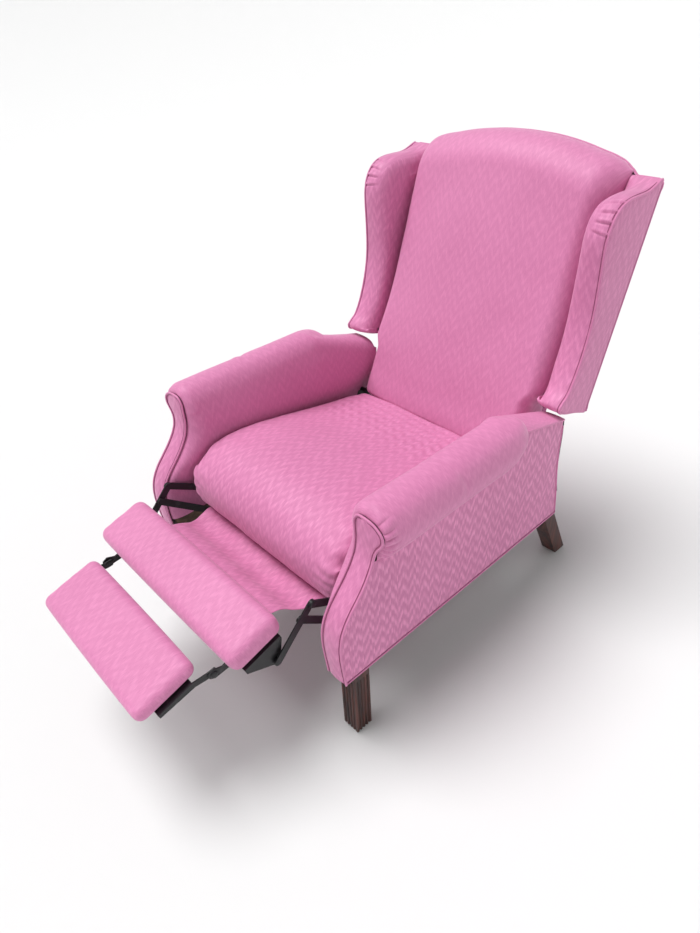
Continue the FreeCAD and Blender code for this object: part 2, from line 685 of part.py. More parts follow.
def seat_cushion():
    half = val("seat_half")
    crown = val("seat_crown")
    bulge = val("seat_bulge")
    plan = ((-half, 0.35, 0.2, 0), (-0.82 * half, 0.8, 0.8, 8), (0, 1, 1, 16),
            (0.82 * half, 0.8, 0.8, 8), (half, 0.35, 0.2, 0))
    sections = [seat_section(x, crown * c, bulge * b, lift) for x, c, b, lift in plan]
    solid_feature("seat_cushion", Part.makeLoft(sections, True, False))


def front_flap():
    """The fabric between the seat's front and the footrest, with its one valley fold."""
    half = val("flap_half")
    thick = val("flap_thick")
    tilt = math.radians(val("panel_tilt"))
    end_y = -val("panel_rear_front") + math.sin(tilt) * val("panel_thick") + 6
    end_z = val("panel_rear_height") - math.cos(tilt) * val("panel_thick") - 4
    start_y = -val("seat_frame_front") + 18
    start_z = val("seat_under") - 0.3
    edge_y = -val("seat_front") + 12
    valley_y = (end_y + edge_y) / 2 + 6
    valley_z = start_z - 14

    def path(down):
        a = (-half, start_y, start_z - down)
        b = (-half, edge_y, start_z - 2 - down)
        c = (-half, valley_y, valley_z - down)
        d = (-half, end_y, end_z - down)
        sag = (-half, (edge_y + valley_y) / 2, start_z - 15 - down)
        rise = (-half, (valley_y + end_y) / 2 - 4, (valley_z + end_z) / 2 - 9 - down)
        return [line(a, b), arc(b, sag, c), arc(c, rise, d)], a, d

    upper, a0, d0 = path(0)
    lower, a1, d1 = path(thick)
    shape = prism(upper + [line(d0, d1)] + lower[::-1] + [line(a1, a0)], (2 * half, 0, 0))
    solid_feature("front_flap", shape)


def upper_link_pieces():
    """Upper links, the rivets at their rear ends and the rivets at the knees."""
    rear = []
    knees = []
    for side_name, side in SIDES:
        link_bar(f"upper_link_{side_name}", side, LAYER_UPPER, PIVOT_A, PIVOT_K,
                 [("0", "pin_radius"), ("1", "pin_radius")])
        long = "2 * steel_thick + link_gap + 2"
        rear.append(rod(f"link_rivet_{side_name}", mirrored_x(side, LAYER_UPPER, long), long,
                        *PIVOT_A, "pin_radius"))
        start = f"{LAYER_OTTOMAN} - 0.6"
        long = "2 * steel_thick + link_gap + 1.2"
        knees.append(rod(f"knee_rivet_{side_name}", mirrored_x(side, start, long), long,
                         *PIVOT_K, "pin_radius"))
    group("link_rivets", rear)
    group("knee_rivets", knees)


def lower_link_pieces():
    """Lower links and the pins that join their front ends to the ottoman links."""
    made = []
    for side_name, side in SIDES:
        link_bar(f"lower_link_{side_name}", side, LAYER_LOWER, PIVOT_C, PIVOT_S,
                 [("0", "pin_radius + pin_play"), ("1", "pin_radius")])
        long = "2 * steel_thick + link_gap"
        made.append(rod(f"lower_pin_{side_name}", mirrored_x(side, LAYER_LOWER, long), long,
                        *PIVOT_S, "pin_radius"))
    group("lower_link_pins", made)


def ottoman_link_pieces():
    """The links that carry the footrest, and the rivets at the footrest brackets."""
    made = []
    for side_name, side in SIDES:
        link_bar(f"ottoman_link_{side_name}", side, LAYER_OTTOMAN, PIVOT_K, PIVOT_B,
                 [("0", "pin_radius + pin_play"), ("lower_link_share", "pin_radius + pin_play"),
                  ("1", "pin_radius")])
        start = "bracket_outer_at - 2.5"
        long = f"{LAYER_OTTOMAN} + steel_thick + link_gap * 0.3 - ({start})"
        made.append(rod(f"bracket_rivet_{side_name}", mirrored_x(side, start, long), long,
                        *PIVOT_B, "pin_radius"))
    group("bracket_rivets", made)


PANEL = ("-panel_rear_front", "panel_rear_height", "panel_tilt")


def panel_placement():
    return FreeCAD.Placement(Vector(0, val(PANEL[0]), val(PANEL[1])),
                             FreeCAD.Rotation(Vector(1, 0, 0), val(PANEL[2])))


def on_panel(along, below):
    """Expressions for a point on the footrest, ahead of and below its rear top edge."""
    y = f"-panel_rear_front - cos(panel_tilt) * ({along}) + sin(panel_tilt) * ({below})"
    z = f"panel_rear_height - sin(panel_tilt) * ({along}) - cos(panel_tilt) * ({below})"
    return y, z


def pad_shape(half, front, rear, thick, crown):
    """A crowned pad: boxed sides that draw in towards its ends."""
    def section(x, share):
        return Part.Wire([
            line((x, front + 6, -thick), (x, rear - 6, -thick)),
            arc((x, rear - 6, -thick), (x, rear + 4 * share, -thick / 2), (x, rear - 5, -crown)),
            arc((x, rear - 5, -crown), (x, (front + rear) / 2, -crown * (1 - share)), (x, front + 5, -crown)),
            arc((x, front + 5, -crown), (x, front - 5 * share, -thick / 2), (x, front + 6, -thick))])
    plan = ((-half, 0.15), (-0.9 * half, 0.85), (0, 1), (0.9 * half, 0.85), (half, 0.15))
    return Part.makeLoft([section(x, share) for x, share in plan], True, False)


def panel_pieces(name, half, front, rear, thick, crown):
    """A footrest board and the pad wrapped round it, in the footrest's own frame."""
    inset = val("board_inset")
    deep = val("board_thick")
    board = Part.makeBox(2 * (half - inset), rear - front - 2 * inset, deep,
                         Vector(inset - half, front + inset, -thick))
    soft = pad_shape(half, front, rear, thick, crown).cut(board)
    solid_feature(f"{name}_board", board, panel_placement())
    solid_feature(f"{name}_pad", soft, panel_placement())


def footrest_bracket(side_name, side):
    """A steel bracket under the footrest: an outer leg to the links, a web, an inner leg ahead."""
    b_along = "((pivot_b_front - panel_rear_front) * cos(panel_tilt) + " \
              "(panel_rear_height - pivot_b_height) * sin(panel_tilt))"
    b_below = "((panel_rear_height - pivot_b_height) * cos(panel_tilt) - " \
              "(pivot_b_front - panel_rear_front) * sin(panel_tilt))"
    face = "-panel_thick"
    outer = plate(f"bracket_outer_{side_name}", [
        ("-12", face), ("-12", f"{face} - 8"), (f"-{b_along} + 11", f"-{b_below} - 5"),
        (f"-{b_along} + 5", f"-{b_below} - 11"), (f"-{b_along} - 5", f"-{b_below} - 11"),
        (f"-{b_along} - 12", f"-{b_below} - 4"), ("-106", f"{face} - 14"), ("-106", face)],
        mirrored_x(side, "bracket_outer_at", "steel_thick"), "steel_thick",
        [(f"-{b_along}", f"-{b_below}", "pin_radius + pin_play")], PANEL[0], PANEL[1], PANEL[2])
    along, below = "-flip_pivot_along", "-flip_pivot_below"
    inner = plate(f"bracket_inner_{side_name}", [
        ("-60", face), ("-60", f"{face} - 20"), (f"{along} + 36", f"{below} - 19"),
        (f"{along} - 3", f"{below} - 12"), (f"{along} - 12", f"{below} - 2"),
        (f"{along} - 9", f"{below} + 9"), (f"{along} + 4", f"{below} + 12"), (f"{along} + 20", face)],
        mirrored_x(side, "bracket_inner_at", "steel_thick"), "steel_thick",
        [(along, below, "pin_radius")], PANEL[0], PANEL[1], PANEL[2])
    wide = "bracket_outer_at + steel_thick - bracket_inner_at"
    web = box(f"bracket_web_{side_name}", mirrored_x(side, "bracket_inner_at", wide),
              on_panel("106", "panel_thick + steel_thick")[0],
              on_panel("106", "panel_thick + steel_thick")[1], wide, "94", "steel_thick")
    web.Placement.Rotation = FreeCAD.Rotation(Vector(1, 0, 0), val("panel_tilt"))
    bind(web, "Placement.Rotation.Angle", "panel_tilt")
    fuse(f"footrest_bracket_{side_name}", [outer, inner, web])


def flip_pivot_pins():
    """The pins in the footrest brackets that the flip-out panel turns on."""
    made = []
    for side_name, side in SIDES:
        start = "bracket_inner_at - 2 * steel_thick - link_gap * 2"
        long = "3 * steel_thick + link_gap * 3"
        made.append(rod(f"flip_pin_{side_name}", mirrored_x(side, start, long), long,
                        *on_panel("flip_pivot_along", "flip_pivot_below"), "pin_radius"))
    group("flip_pins", made)


def flip_bracket(side_name, side):
    """A steel arm from the flip-out pivot, with a flange under the flip-out panel."""
    at = "bracket_inner_at - steel_thick - 2 * link_gap - 1"
    along, below = "-flip_pivot_along", "-flip_pivot_below"
    face = "-flip_thick"
    near = "-(panel_depth + flip_gap + 22)"
    far = "-(panel_depth + flip_gap + flip_depth - 30)"
    arm = plate(f"flip_arm_{side_name}", [
        (f"{along} + 9", f"{below} + 6"), (f"{along} + 11", f"{below} - 4"), (f"{along} + 4", f"{below} - 11"),
        (f"{along} - 7", f"{below} - 9"), (near, f"{face} - 15"), (far, f"{face} - 9"), (far, face),
        (near, face), (f"{along} - 8", f"{below} + 9")],
        mirrored_x(side, at, "steel_thick"), "steel_thick", [(along, below, "pin_radius + pin_play")],
        PANEL[0], PANEL[1], PANEL[2])
    wide = f"{at} + steel_thick - (flip_half - 34)"
    spot = on_panel("panel_depth + flip_gap + flip_depth - 30", "flip_thick + steel_thick")
    flange = box(f"flip_flange_{side_name}", mirrored_x(side, "flip_half - 34", wide), *spot,
                 wide, "flip_depth - 52", "steel_thick")
    flange.Placement.Rotation = FreeCAD.Rotation(Vector(1, 0, 0), val("panel_tilt"))
    bind(flange, "Placement.Rotation.Angle", "panel_tilt")
    fuse(f"flip_bracket_{side_name}", [arm, flange])


BACK = ("back_foot", "back_foot_height", "-back_tilt")


def back_placement():
    return FreeCAD.Placement(Vector(0, val(BACK[0]), val(BACK[1])),
                             FreeCAD.Rotation(Vector(1, 0, 0), val(BACK[2])))


def on_back(across, up):
    """Expressions for a point on the back, behind and above its lower rear edge."""
    y = f"back_foot + cos(back_tilt) * ({across}) + sin(back_tilt) * ({up})"
    z = f"back_foot_height - sin(back_tilt) * ({across}) + cos(back_tilt) * ({up})"
    return y, z


def back_box(name, x, across, up, wide, deep, high):
    obj = box(name, x, *on_back(across, up), wide, deep, high)
    obj.Placement.Rotation = FreeCAD.Rotation(Vector(1, 0, 0), -val("back_tilt"))
    bind(obj, "Placement.Rotation.Angle", "-back_tilt")
    return obj


def back_frame_pieces():
    """Posts, rails and webbing of the back."""
    front = "-(outside_back_thick + post_deep)"
    group("back_posts", [
        back_box(f"back_post_{side_name}", mirrored_x(side, "post_outer - post_wide", "post_wide"),
                 front, "-post_low", "post_wide", "post_deep", "post_high + post_low")
        for side_name, side in SIDES])
    back_box("back_top_rail", "-post_outer", front, "post_high", "2 * post_outer", "post_deep",
             "back_rail_high")
    back_box("back_bottom_rail", "post_wide - post_outer", front, "-post_low",
             "2 * (post_outer - post_wide)", "post_deep", "back_rail_high")
    count = int(val("web_count"))
    straps = [back_box(f"strap_{k}", "-post_outer", f"{front} - web_thick",
                       f"(post_high - web_wide) * {k} / {count - 1}",
                       "2 * post_outer", "web_thick", "web_wide") for k in range(count)]
    group("back_webbing", straps)


def outside_back():
    """The upholstered panel behind the back, with its arched crest."""
    half = val("back_half")
    high = val("back_height")
    thick = val("outside_back_thick")
    inner = val("back_cushion_half")
    crest = high + val("crest_rise") - 1
    edges = [line((-half, -thick, 0), (half, -thick, 0)), line((half, -thick, 0), (half, -thick, high)),
             line((half, -thick, high), (inner, -thick, high + 4)),
             arc((inner, -thick, high + 4), (0, -thick, crest), (-inner, -thick, high + 4)),
             line((-inner, -thick, high + 4), (-half, -thick, high)),
             line((-half, -thick, high), (-half, -thick, 0))]
    solid_feature("outside_back", prism(edges, (0, thick, 0)), back_placement())


def back_outline(y, inset):
    """The back cushion's outline at a depth, drawn in by an inset."""
    narrow = val("back_cushion_narrow") - inset
    half = val("back_cushion_half") - inset
    low = -val("back_cushion_low") + inset
    step = val("back_shoulder")
    high = val("back_height") + 6 - inset
    crest = val("back_height") + val("crest_rise") - inset
    return Part.Wire([
        line((-narrow, y, low), (narrow, y, low)), line((narrow, y, low), (narrow, y, step)),
        line((narrow, y, step), (half, y, step + 16)), line((half, y, step + 16), (half, y, high)),
        arc((half, y, high), (0, y, crest), (-half, y, high)),
        line((-half, y, high), (-half, y, step + 16)), line((-half, y, step + 16), (-narrow, y, step)),
        line((-narrow, y, step), (-narrow, y, low))])


def back_cushion():
    """The back cushion: full at the sides, crowned at the front, with an arched top."""
    rear = -val("outside_back_thick + post_deep + web_thick")
    front = -val("back_cushion_front")
    plan = ((rear, 6), (rear + (front - rear) * 0.35, 0), (rear + (front - rear) * 0.72, 8), (front, 52))
    shape = Part.makeLoft([back_outline(y, inset) for y, inset in plan], True, False)
    solid_feature("back_cushion", shape, back_placement())


def wing_outline(x, inset):
    """The wing's side outline at x, its front edge drawn back by an inset."""
    rear = -val("outside_back_thick") - 0.3
    high = val("back_height")

    def spot(y, z):
        return (x, y + inset, z)

    foot = (x, rear, 3)
    toe = spot(-138, 12)
    shoulder = spot(-160, 468)
    brow = spot(-60, high - 22 - inset * 0.2)
    top = (x, rear, high - 2 - inset * 0.2)
    return Part.Wire([
        line(foot, toe), arc(toe, spot(-151, 26), spot(-133, 56)),
        arc(spot(-133, 56), spot(-121, 150), spot(-140, 262)), line(spot(-140, 262), spot(-165, 338)),
        arc(spot(-165, 338), spot(-187, 410), shoulder), arc(shoulder, spot(-118, 498), brow),
        line(brow, top), line(top, foot)])


def wing_pieces():
    """Two plywood wing frames and the padding wrapped round each."""
    inner = val("wing_inner")
    outer = val("arm_outer")
    start = val("wing_frame_at")
    thick = val("wing_frame_thick")
    plan = ((inner, 34), (inner + 16, 8), ((inner + outer) / 2, 0), (outer - 8, 0), (outer, 4))
    soft = Part.makeLoft([wing_outline(x, inset) for x, inset in plan], True, True)
    corners = [(-16, 20), (-112, 32), (-100, 150), (-118, 268), (-152, 400), (-122, 462), (-16, 500)]
    spots = [(start, y, z) for y, z in corners]
    ply = prism([line(a, b) for a, b in zip(spots, spots[1:] + spots[:1])], (thick, 0, 0))
    soft = soft.cut(ply)
    solid_feature("wing_frames", Part.makeCompound([ply, mirror_x(ply)]), back_placement())
    for side_name, side in SIDES:
        solid_feature(f"wing_pad_{side_name}", soft if side > 0 else mirror_x(soft), back_placement())


def back_bracket(side_name, side):
    """A steel plate from the back post down to the pivot stud."""
    y = "(back_pivot_at - back_foot) * cos(back_tilt) - (back_pivot_height - back_foot_height) * sin(back_tilt)"
    z = "(back_pivot_at - back_foot) * sin(back_tilt) + (back_pivot_height - back_foot_height) * cos(back_tilt)"
    front = "-(outside_back_thick + post_deep)"
    outline = [(f"{y} - 13", f"{z} - 5"), (f"{y} - 5", f"{z} - 13"), (f"{y} + 12", f"{z} - 9"),
               (f"{front} + 30", "-post_low + 4"), (f"{front} + 30", "-60"), (f"{front} + 6", "-60"),
               (f"{front} + 2", "-post_low + 34"), (f"{y} - 8", f"{z} + 11")]
    plate(f"back_bracket_{side_name}", outline, mirrored_x(side, "post_outer", "steel_thick"),
          "steel_thick", [(y, z, "stud_radius + pin_play")], BACK[0], BACK[1], BACK[2])


def build_model():
    for side_name, side in SIDES:
        arm_pieces(side_name, side)
        front_leg(side_name, side)
        rear_leg(side_name, side)
        back_pivot_bracket(side_name, side)
        seat_rail(side_name, side)
        footrest_bracket(side_name, side)
        flip_bracket(side_name, side)
        back_bracket(side_name, side)
    group("glide_rails", [glide_rail(side_name, side) for side_name, side in SIDES])
    wing_pieces()
    leg_glides()
    base_pieces()
    glide_rollers()
    seat_frame_pieces()
    seat_springs()
    seat_cushion()
    front_flap()
    upper_link_pieces()
    lower_link_pieces()
    ottoman_link_pieces()
    panel_pieces("footrest", val("panel_half"), -val("panel_depth"), 0, val("panel_thick"),
                 val("panel_crown"))
    flip_rear = -val("panel_depth + flip_gap")
    panel_pieces("flip", val("flip_half"), flip_rear - val("flip_depth"), flip_rear,
                 val("flip_thick"), val("flip_crown"))
    flip_pivot_pins()
    back_frame_pieces()
    outside_back()
    back_cushion()


build_model()
doc.recompute()

sub_parts = [obj for obj in doc.RootObjects if hasattr(obj, "Shape") and not obj.InList]
for obj in doc.Objects:
    if "Invalid" in obj.State or "Error" in obj.State:
        raise RuntimeError(f"{obj.Label} failed: {obj.State}")
for obj in sub_parts:
    if obj.Shape.isNull() or not obj.Shape.isValid() or not obj.Shape.Solids:
        raise RuntimeError(f"{obj.Label} has no valid solid")

os.makedirs("parts", exist_ok=True)
shift = Vector(0, val("frame_shift"), 0)
low, high = Vector(1e9, 1e9, 1e9), Vector(-1e9, -1e9, -1e9)
for obj in sub_parts:
    shape = obj.Shape.copy()
    shape.translate(shift)
    shape.exportStep(f"parts/{obj.Label}.step")
    box_now = shape.optimalBoundingBox(False)
    low = Vector(min(low.x, box_now.XMin), min(low.y, box_now.YMin), min(low.z, box_now.ZMin))
    high = Vector(max(high.x, box_now.XMax), max(high.y, box_now.YMax), max(high.z, box_now.ZMax))
print(len(sub_parts), "sub-parts; box from", [round(v, 1) for v in low], "to", [round(v, 1) for v in high])
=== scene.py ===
"""Looks of the wingback recliner: woven covers, piping, wood and black steel round the CAD frame."""

import json
import math

import bmesh
import bpy
import numpy as np
from mathutils import Matrix, Vector


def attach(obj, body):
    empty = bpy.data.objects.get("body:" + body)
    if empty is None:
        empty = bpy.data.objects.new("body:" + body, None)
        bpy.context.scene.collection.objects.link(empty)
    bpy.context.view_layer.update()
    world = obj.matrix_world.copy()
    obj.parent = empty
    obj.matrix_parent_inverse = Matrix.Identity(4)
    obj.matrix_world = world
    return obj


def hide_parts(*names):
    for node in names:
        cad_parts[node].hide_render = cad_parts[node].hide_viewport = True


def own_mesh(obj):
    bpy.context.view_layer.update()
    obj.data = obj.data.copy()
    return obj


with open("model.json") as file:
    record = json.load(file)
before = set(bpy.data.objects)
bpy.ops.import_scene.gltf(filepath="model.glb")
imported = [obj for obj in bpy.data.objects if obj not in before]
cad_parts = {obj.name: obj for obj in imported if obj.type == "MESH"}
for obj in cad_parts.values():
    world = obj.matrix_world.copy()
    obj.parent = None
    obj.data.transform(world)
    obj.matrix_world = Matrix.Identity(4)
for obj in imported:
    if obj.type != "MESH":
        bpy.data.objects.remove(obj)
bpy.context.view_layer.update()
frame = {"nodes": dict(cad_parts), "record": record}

# Lengths are in mm of the chair: X to the sitter's left, Y rearwards, Z up.
# SHIFT takes Y to the pack's frame.
SHIFT = 78.1
BACK_ORIGIN, BACK_TILT = (439, 484), math.radians(17.8)
PANEL_ORIGIN, PANEL_TILT = (-487, 412), math.radians(16)
SIDES = (("left", 1), ("right", -1))


# Numbers and curves

def smooth(t):
    """An eased rise from 0 to 1."""
    t = np.clip(t, 0, 1)
    return t * t * (3 - 2 * t)


def quarter(t):
    """A quarter circle's rise from 0 to 1."""
    t = np.clip(t, 0, 1)
    return np.sqrt(1 - (1 - t) ** 2)


def spline(knots, at):
    """A smooth curve through knots (position, value), read at positions."""
    k = np.array(knots, float)
    x, y = k[:, 0], k[:, 1:]
    h = np.diff(x)[:, None]
    slope = np.diff(y, axis=0) / h
    inner = (slope[:-1] * h[1:] + slope[1:] * h[:-1]) / (h[1:] + h[:-1])
    m = np.vstack([slope[:1], inner, slope[-1:]])
    at = np.clip(np.asarray(at, float), x[0], x[-1])
    i = np.clip(np.searchsorted(x, at, side="right") - 1, 0, len(x) - 2)
    t = ((at - x[i]) / (x[i + 1] - x[i]))[..., None]
    w = (x[i + 1] - x[i])[..., None]
    out = ((2 * t ** 3 - 3 * t ** 2 + 1) * y[i] + (t ** 3 - 2 * t ** 2 + t) * w * m[i]
           + (3 * t ** 2 - 2 * t ** 3) * y[i + 1] + (t ** 3 - t ** 2) * w * m[i + 1])
    return out[..., 0] if y.shape[1] == 1 else out


def distance_along(p):
    """Distance from the first point of a line in a plane to each of its points."""
    return np.r_[0, np.cumsum(np.hypot(*np.diff(p, axis=0).T))]


def path(points, count, closed=False):
    """Evenly spaced points on a smooth curve through the given ones."""
    p = np.array(points, float)
    if closed:
        p = np.vstack([p[-2:], p, p[:3]])
    d = np.r_[0, np.cumsum(np.linalg.norm(np.diff(p, axis=0), axis=1))]
    fine = spline(np.c_[d, p], np.linspace(d[2] if closed else 0, d[-3] if closed else d[-1], 600))
    run = np.r_[0, np.cumsum(np.linalg.norm(np.diff(fine, axis=0), axis=1))]
    want = np.linspace(0, run[-1], count + 1 if closed else count)
    if closed:
        want = want[:-1]
    return np.column_stack([np.interp(want, run, fine[:, k]) for k in range(p.shape[1])])


HASH_X, HASH_Y, HASH_Z = 73856093, 19349663, 83492791


def noise3(p, scale, seed=0):
    """Smooth value noise at points in mm, from -1 to 1."""
    q = np.asarray(p, float) / scale + 100.0
    i = np.floor(q).astype(int)
    f = q - i
    f = f * f * (3 - 2 * f)

    def corner(dx, dy, dz):
        """The random value at one corner of each point's cell."""
        n = ((i[..., 0] + dx) * HASH_X ^ (i[..., 1] + dy) * HASH_Y ^ (i[..., 2] + dz) * HASH_Z)
        n = (n ^ (seed * 2654435761)) & 0xFFFFFFFF
        n = ((n ^ (n >> 13)) * 1274126177) & 0xFFFFFFFF
        return ((n ^ (n >> 16)) & 0xFFFF) / 32767.5 - 1

    out = 0
    for dx in (0, 1):
        for dy in (0, 1):
            for dz in (0, 1):
                w = ((f[..., 0] if dx else 1 - f[..., 0]) * (f[..., 1] if dy else 1 - f[..., 1])
                     * (f[..., 2] if dz else 1 - f[..., 2]))
                out = out + w * corner(dx, dy, dz)
    return out


# Frames of the moving groups

def tilted(p, origin, angle):
    """Points given in a frame that leans rearwards by an angle, to the chair's frame."""
    p = np.asarray(p, float)
    c, s = math.cos(angle), math.sin(angle)
    return np.stack([p[..., 0], origin[0] + c * p[..., 1] + s * p[..., 2],
                     origin[1] - s * p[..., 1] + c * p[..., 2]], -1)


def untilted(p, origin, angle):
    """Rearward and up in a leaning frame, in mm, of mesh points in metres."""
    q = p * 1000
    q[:, 1] -= SHIFT
    dy, dz = q[:, 1] - origin[0], q[:, 2] - origin[1]
    c, s = math.cos(angle), math.sin(angle)
    return c * dy - s * dz, s * dy + c * dz


def from_back(p):
    """Points given as (x, rearward, up the back) to the chair's frame."""
    return tilted(p, BACK_ORIGIN, BACK_TILT)


def from_panel(p):
    """Points given as (x, rearward, off the panel) to the chair's frame."""
    return tilted(p, PANEL_ORIGIN, -PANEL_TILT)


def metres(p):
    """Points in mm of the chair to metres of the pack's frame."""
    p = np.array(p, float)
    p[..., 1] += SHIFT
    return p / 1000


# Mesh building

def read(items, attribute, width=1, kind=float):
    """An attribute of a mesh's items as an array."""
    values = np.zeros(len(items) * width, kind)
    items.foreach_get(attribute, values)
    return values.reshape(-1, width) if width > 1 else values


def tidy_normals(mesh):
    """Turns all faces the same way, outwards."""
    bm = bmesh.new()
    bm.from_mesh(mesh)
    bmesh.ops.recalc_face_normals(bm, faces=bm.faces)
    middle = sum((v.co for v in bm.verts), Vector()) / len(bm.verts)
    if sum((f.calc_center_median() - middle).dot(f.normal) * f.calc_area() for f in bm.faces) < 0:
        bmesh.ops.reverse_faces(bm, faces=bm.faces)
    bm.to_mesh(mesh)
    bm.free()


def shade_smooth(mesh):
    """Shades every face smooth."""
    mesh.polygons.foreach_set("use_smooth", [True] * len(mesh.polygons))


def add(name, data):
    """A new object in the scene."""
    obj = bpy.data.objects.new(name, data)
    bpy.context.scene.collection.objects.link(obj)
    return obj


def make(name, verts, faces, body, material, replaces=(), uv=None, place=None):
    """A smooth mesh object on a body, from points in mm. place takes local points to the chair's frame."""
    verts = np.asarray(verts, float).reshape(-1, 3)
    world = metres(place(verts) if place else verts)
    mesh = bpy.data.meshes.new(name)
    mesh.from_pydata(world.tolist(), [], [list(f) for f in faces])
    mesh.validate()
    tidy_normals(mesh)
    obj = add(name, mesh)
    mesh.materials.append(material)
    shade_smooth(mesh)
    if uv is not None:
        per_vertex_uv(mesh, uv)
    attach(obj, body)
    if replaces:
        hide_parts(*replaces)
    return obj


def per_vertex_uv(mesh, uv):
    """A UV layer in metres from one pair for each vertex."""
    layer = mesh.uv_layers.new(name="cloth")
    index = read(mesh.loops, "vertex_index", kind=int)
    layer.data.foreach_set("uv", np.asarray(uv, float).reshape(-1, 2)[index].ravel())


def grid_faces(rows, cols, close_rows=False, close_cols=False, flip=False):
    """Quads between the neighbours of a grid of points."""
    faces = []
    for i in range(rows if close_rows else rows - 1):
        for j in range(cols if close_cols else cols - 1):
            a, b = i * cols + j, i * cols + (j + 1) % cols
            c, d = ((i + 1) % rows) * cols + (j + 1) % cols, ((i + 1) % rows) * cols + j
            faces.append((a, d, c, b) if flip else (a, b, c, d))
    return faces


def face_uv(obj, rule):
    """A UV layer in metres from a rule on the mesh's points and face normals."""
    mesh = obj.data
    for layer in list(mesh.uv_layers):
        mesh.uv_layers.remove(layer)
    layer = mesh.uv_layers.new(name="cloth")
    points, normals = read(mesh.vertices, "co", 3), read(mesh.polygons, "normal", 3)
    vert = read(mesh.loops, "vertex_index", kind=int)
    face = np.repeat(np.arange(len(mesh.polygons)), read(mesh.polygons, "loop_total", kind=int))
    layer.data.foreach_set("uv", np.asarray(rule(points[vert], normals[face]), float).ravel())


def apply_modifiers(obj):
    """Keeps what the modifiers make as the object's own mesh."""
    dg = bpy.context.evaluated_depsgraph_get()
    mesh = bpy.data.meshes.new_from_object(obj.evaluated_get(dg))
    old = obj.data
    obj.modifiers.clear()
    obj.data = mesh
    bpy.data.meshes.remove(old)
    shade_smooth(mesh)


def subdivide(obj, levels=1):
    """Smooths a mesh by subdivision."""
    mod = obj.modifiers.new("subdivision", "SUBSURF")
    mod.levels = mod.render_levels = levels
    apply_modifiers(obj)


def rounded_box(size, centre, radius, cuts):
    """Points and faces of a dense box with rounded edges, in mm."""
    bm = bmesh.new()
    bmesh.ops.create_cube(bm, size=2)
    for axis in range(3):
        edges = [e for e in bm.edges if abs((e.verts[0].co - e.verts[1].co)[axis]) > 1.5]
        bmesh.ops.subdivide_edges(bm, edges=edges, cuts=cuts[axis], use_grid_fill=True)
    bm.verts.ensure_lookup_table()
    p = np.array([v.co[:] for v in bm.verts])
    faces = [[v.index for v in f.verts] for f in bm.faces]
    bm.free()
    half = np.array(size) / 2
    p = p * half
    inner = np.clip(p, -(half - radius), half - radius)
    d = p - inner
    far = np.abs(d).max(1, keepdims=True)
    length = np.linalg.norm(d, axis=1, keepdims=True)
    out = inner + np.where(length > 1e-6, d * far / np.maximum(length, 1e-6), 0)
    return out + np.array(centre), faces


def tube(name, points, radius, body, material, place=None, closed=False, sides=10):
    """Piping or a painted seam shadow along a path given in mm."""
    p = np.asarray(points, float)
    n = len(p)
    ahead = np.roll(p, -1, 0) - np.roll(p, 1, 0)
    if not closed:
        ahead[0], ahead[-1] = p[1] - p[0], p[-1] - p[-2]
    ahead /= np.linalg.norm(ahead, axis=1, keepdims=True)
    any_way = np.array([0.31, 0.52, 0.79])
    a = np.cross(ahead[0], any_way)
    a /= np.linalg.norm(a)
    rings, uvs = [], []
    run = 0
    for i in range(n):
        a = a - ahead[i] * (a @ ahead[i])
        a /= np.linalg.norm(a)
        b = np.cross(ahead[i], a)
        if i:
            run += np.linalg.norm(p[i] - p[i - 1])
        for k in range(sides):
            t = 2 * math.pi * k / sides
            rings.append(p[i] + radius * (math.cos(t) * a + math.sin(t) * b))
            uvs.append((radius * t / 1000, run / 1000))
    faces = grid_faces(n, sides, close_rows=closed, close_cols=True, flip=True)
    if not closed:
        faces.append(tuple(range(sides)))
        faces.append(tuple(range((n - 1) * sides, n * sides))[::-1])
    return make(name, rings, faces, body, material, uv=uvs, place=place)


# Materials

def nodes_of(name):
    """A new material, its node tree and its shader."""
    material = bpy.data.materials.new(name)
    material.use_nodes = True
    tree = material.node_tree
    tree.nodes.clear()
    out = tree.nodes.new("ShaderNodeOutputMaterial")
    shader = tree.nodes.new("ShaderNodeBsdfPrincipled")
    tree.links.new(shader.outputs[0], out.inputs[0])
    return material, tree, shader


def node(tree, kind, values=(), links=(), **props):
    """A node with its properties, the values of its sockets and the links into them."""
    n = tree.nodes.new(kind)
    for key, value in props.items():
        setattr(n, key, value)
    for key, value in values:
        n.inputs[key].default_value = value
    for key, source in links:
        tree.links.new(source, n.inputs[key])
    return n


def calc(tree, operation, *terms):
    """A math node on numbers and sockets."""
    n = tree.nodes.new("ShaderNodeMath")
    n.operation = operation
    for i, value in enumerate(terms):
        if isinstance(value, (int, float)):
            n.inputs[i].default_value = value
        else:
            tree.links.new(value, n.inputs[i])
    return n.outputs[0]


def swing(tree, value, middle, gain):
    """How far a value is from its middle, times a gain."""
    return calc(tree, "MULTIPLY", calc(tree, "SUBTRACT", value, middle), gain)


def scaled(tree, vector, factors):
    """A vector times three factors."""
    return node(tree, "ShaderNodeVectorMath", [(1, factors)], [(0, vector)],
                operation="MULTIPLY").outputs[0]


def object_place(tree):
    """The point's place on its own object."""
    return node(tree, "ShaderNodeTexCoord").outputs["Object"]


def noise_at(tree, vector, scale, detail, distortion=0.0):
    """Smooth noise read at a vector."""
    values = [("Scale", scale), ("Detail", detail), ("Distortion", distortion)]
    return node(tree, "ShaderNodeTexNoise", values, [("Vector", vector)]).outputs[0]


def chance_at(tree, socket, source, dimensions):
    """One random value for each value of the source."""
    return node(tree, "ShaderNodeTexWhiteNoise", links=[(socket, source)],
                noise_dimensions=dimensions).outputs["Value"]


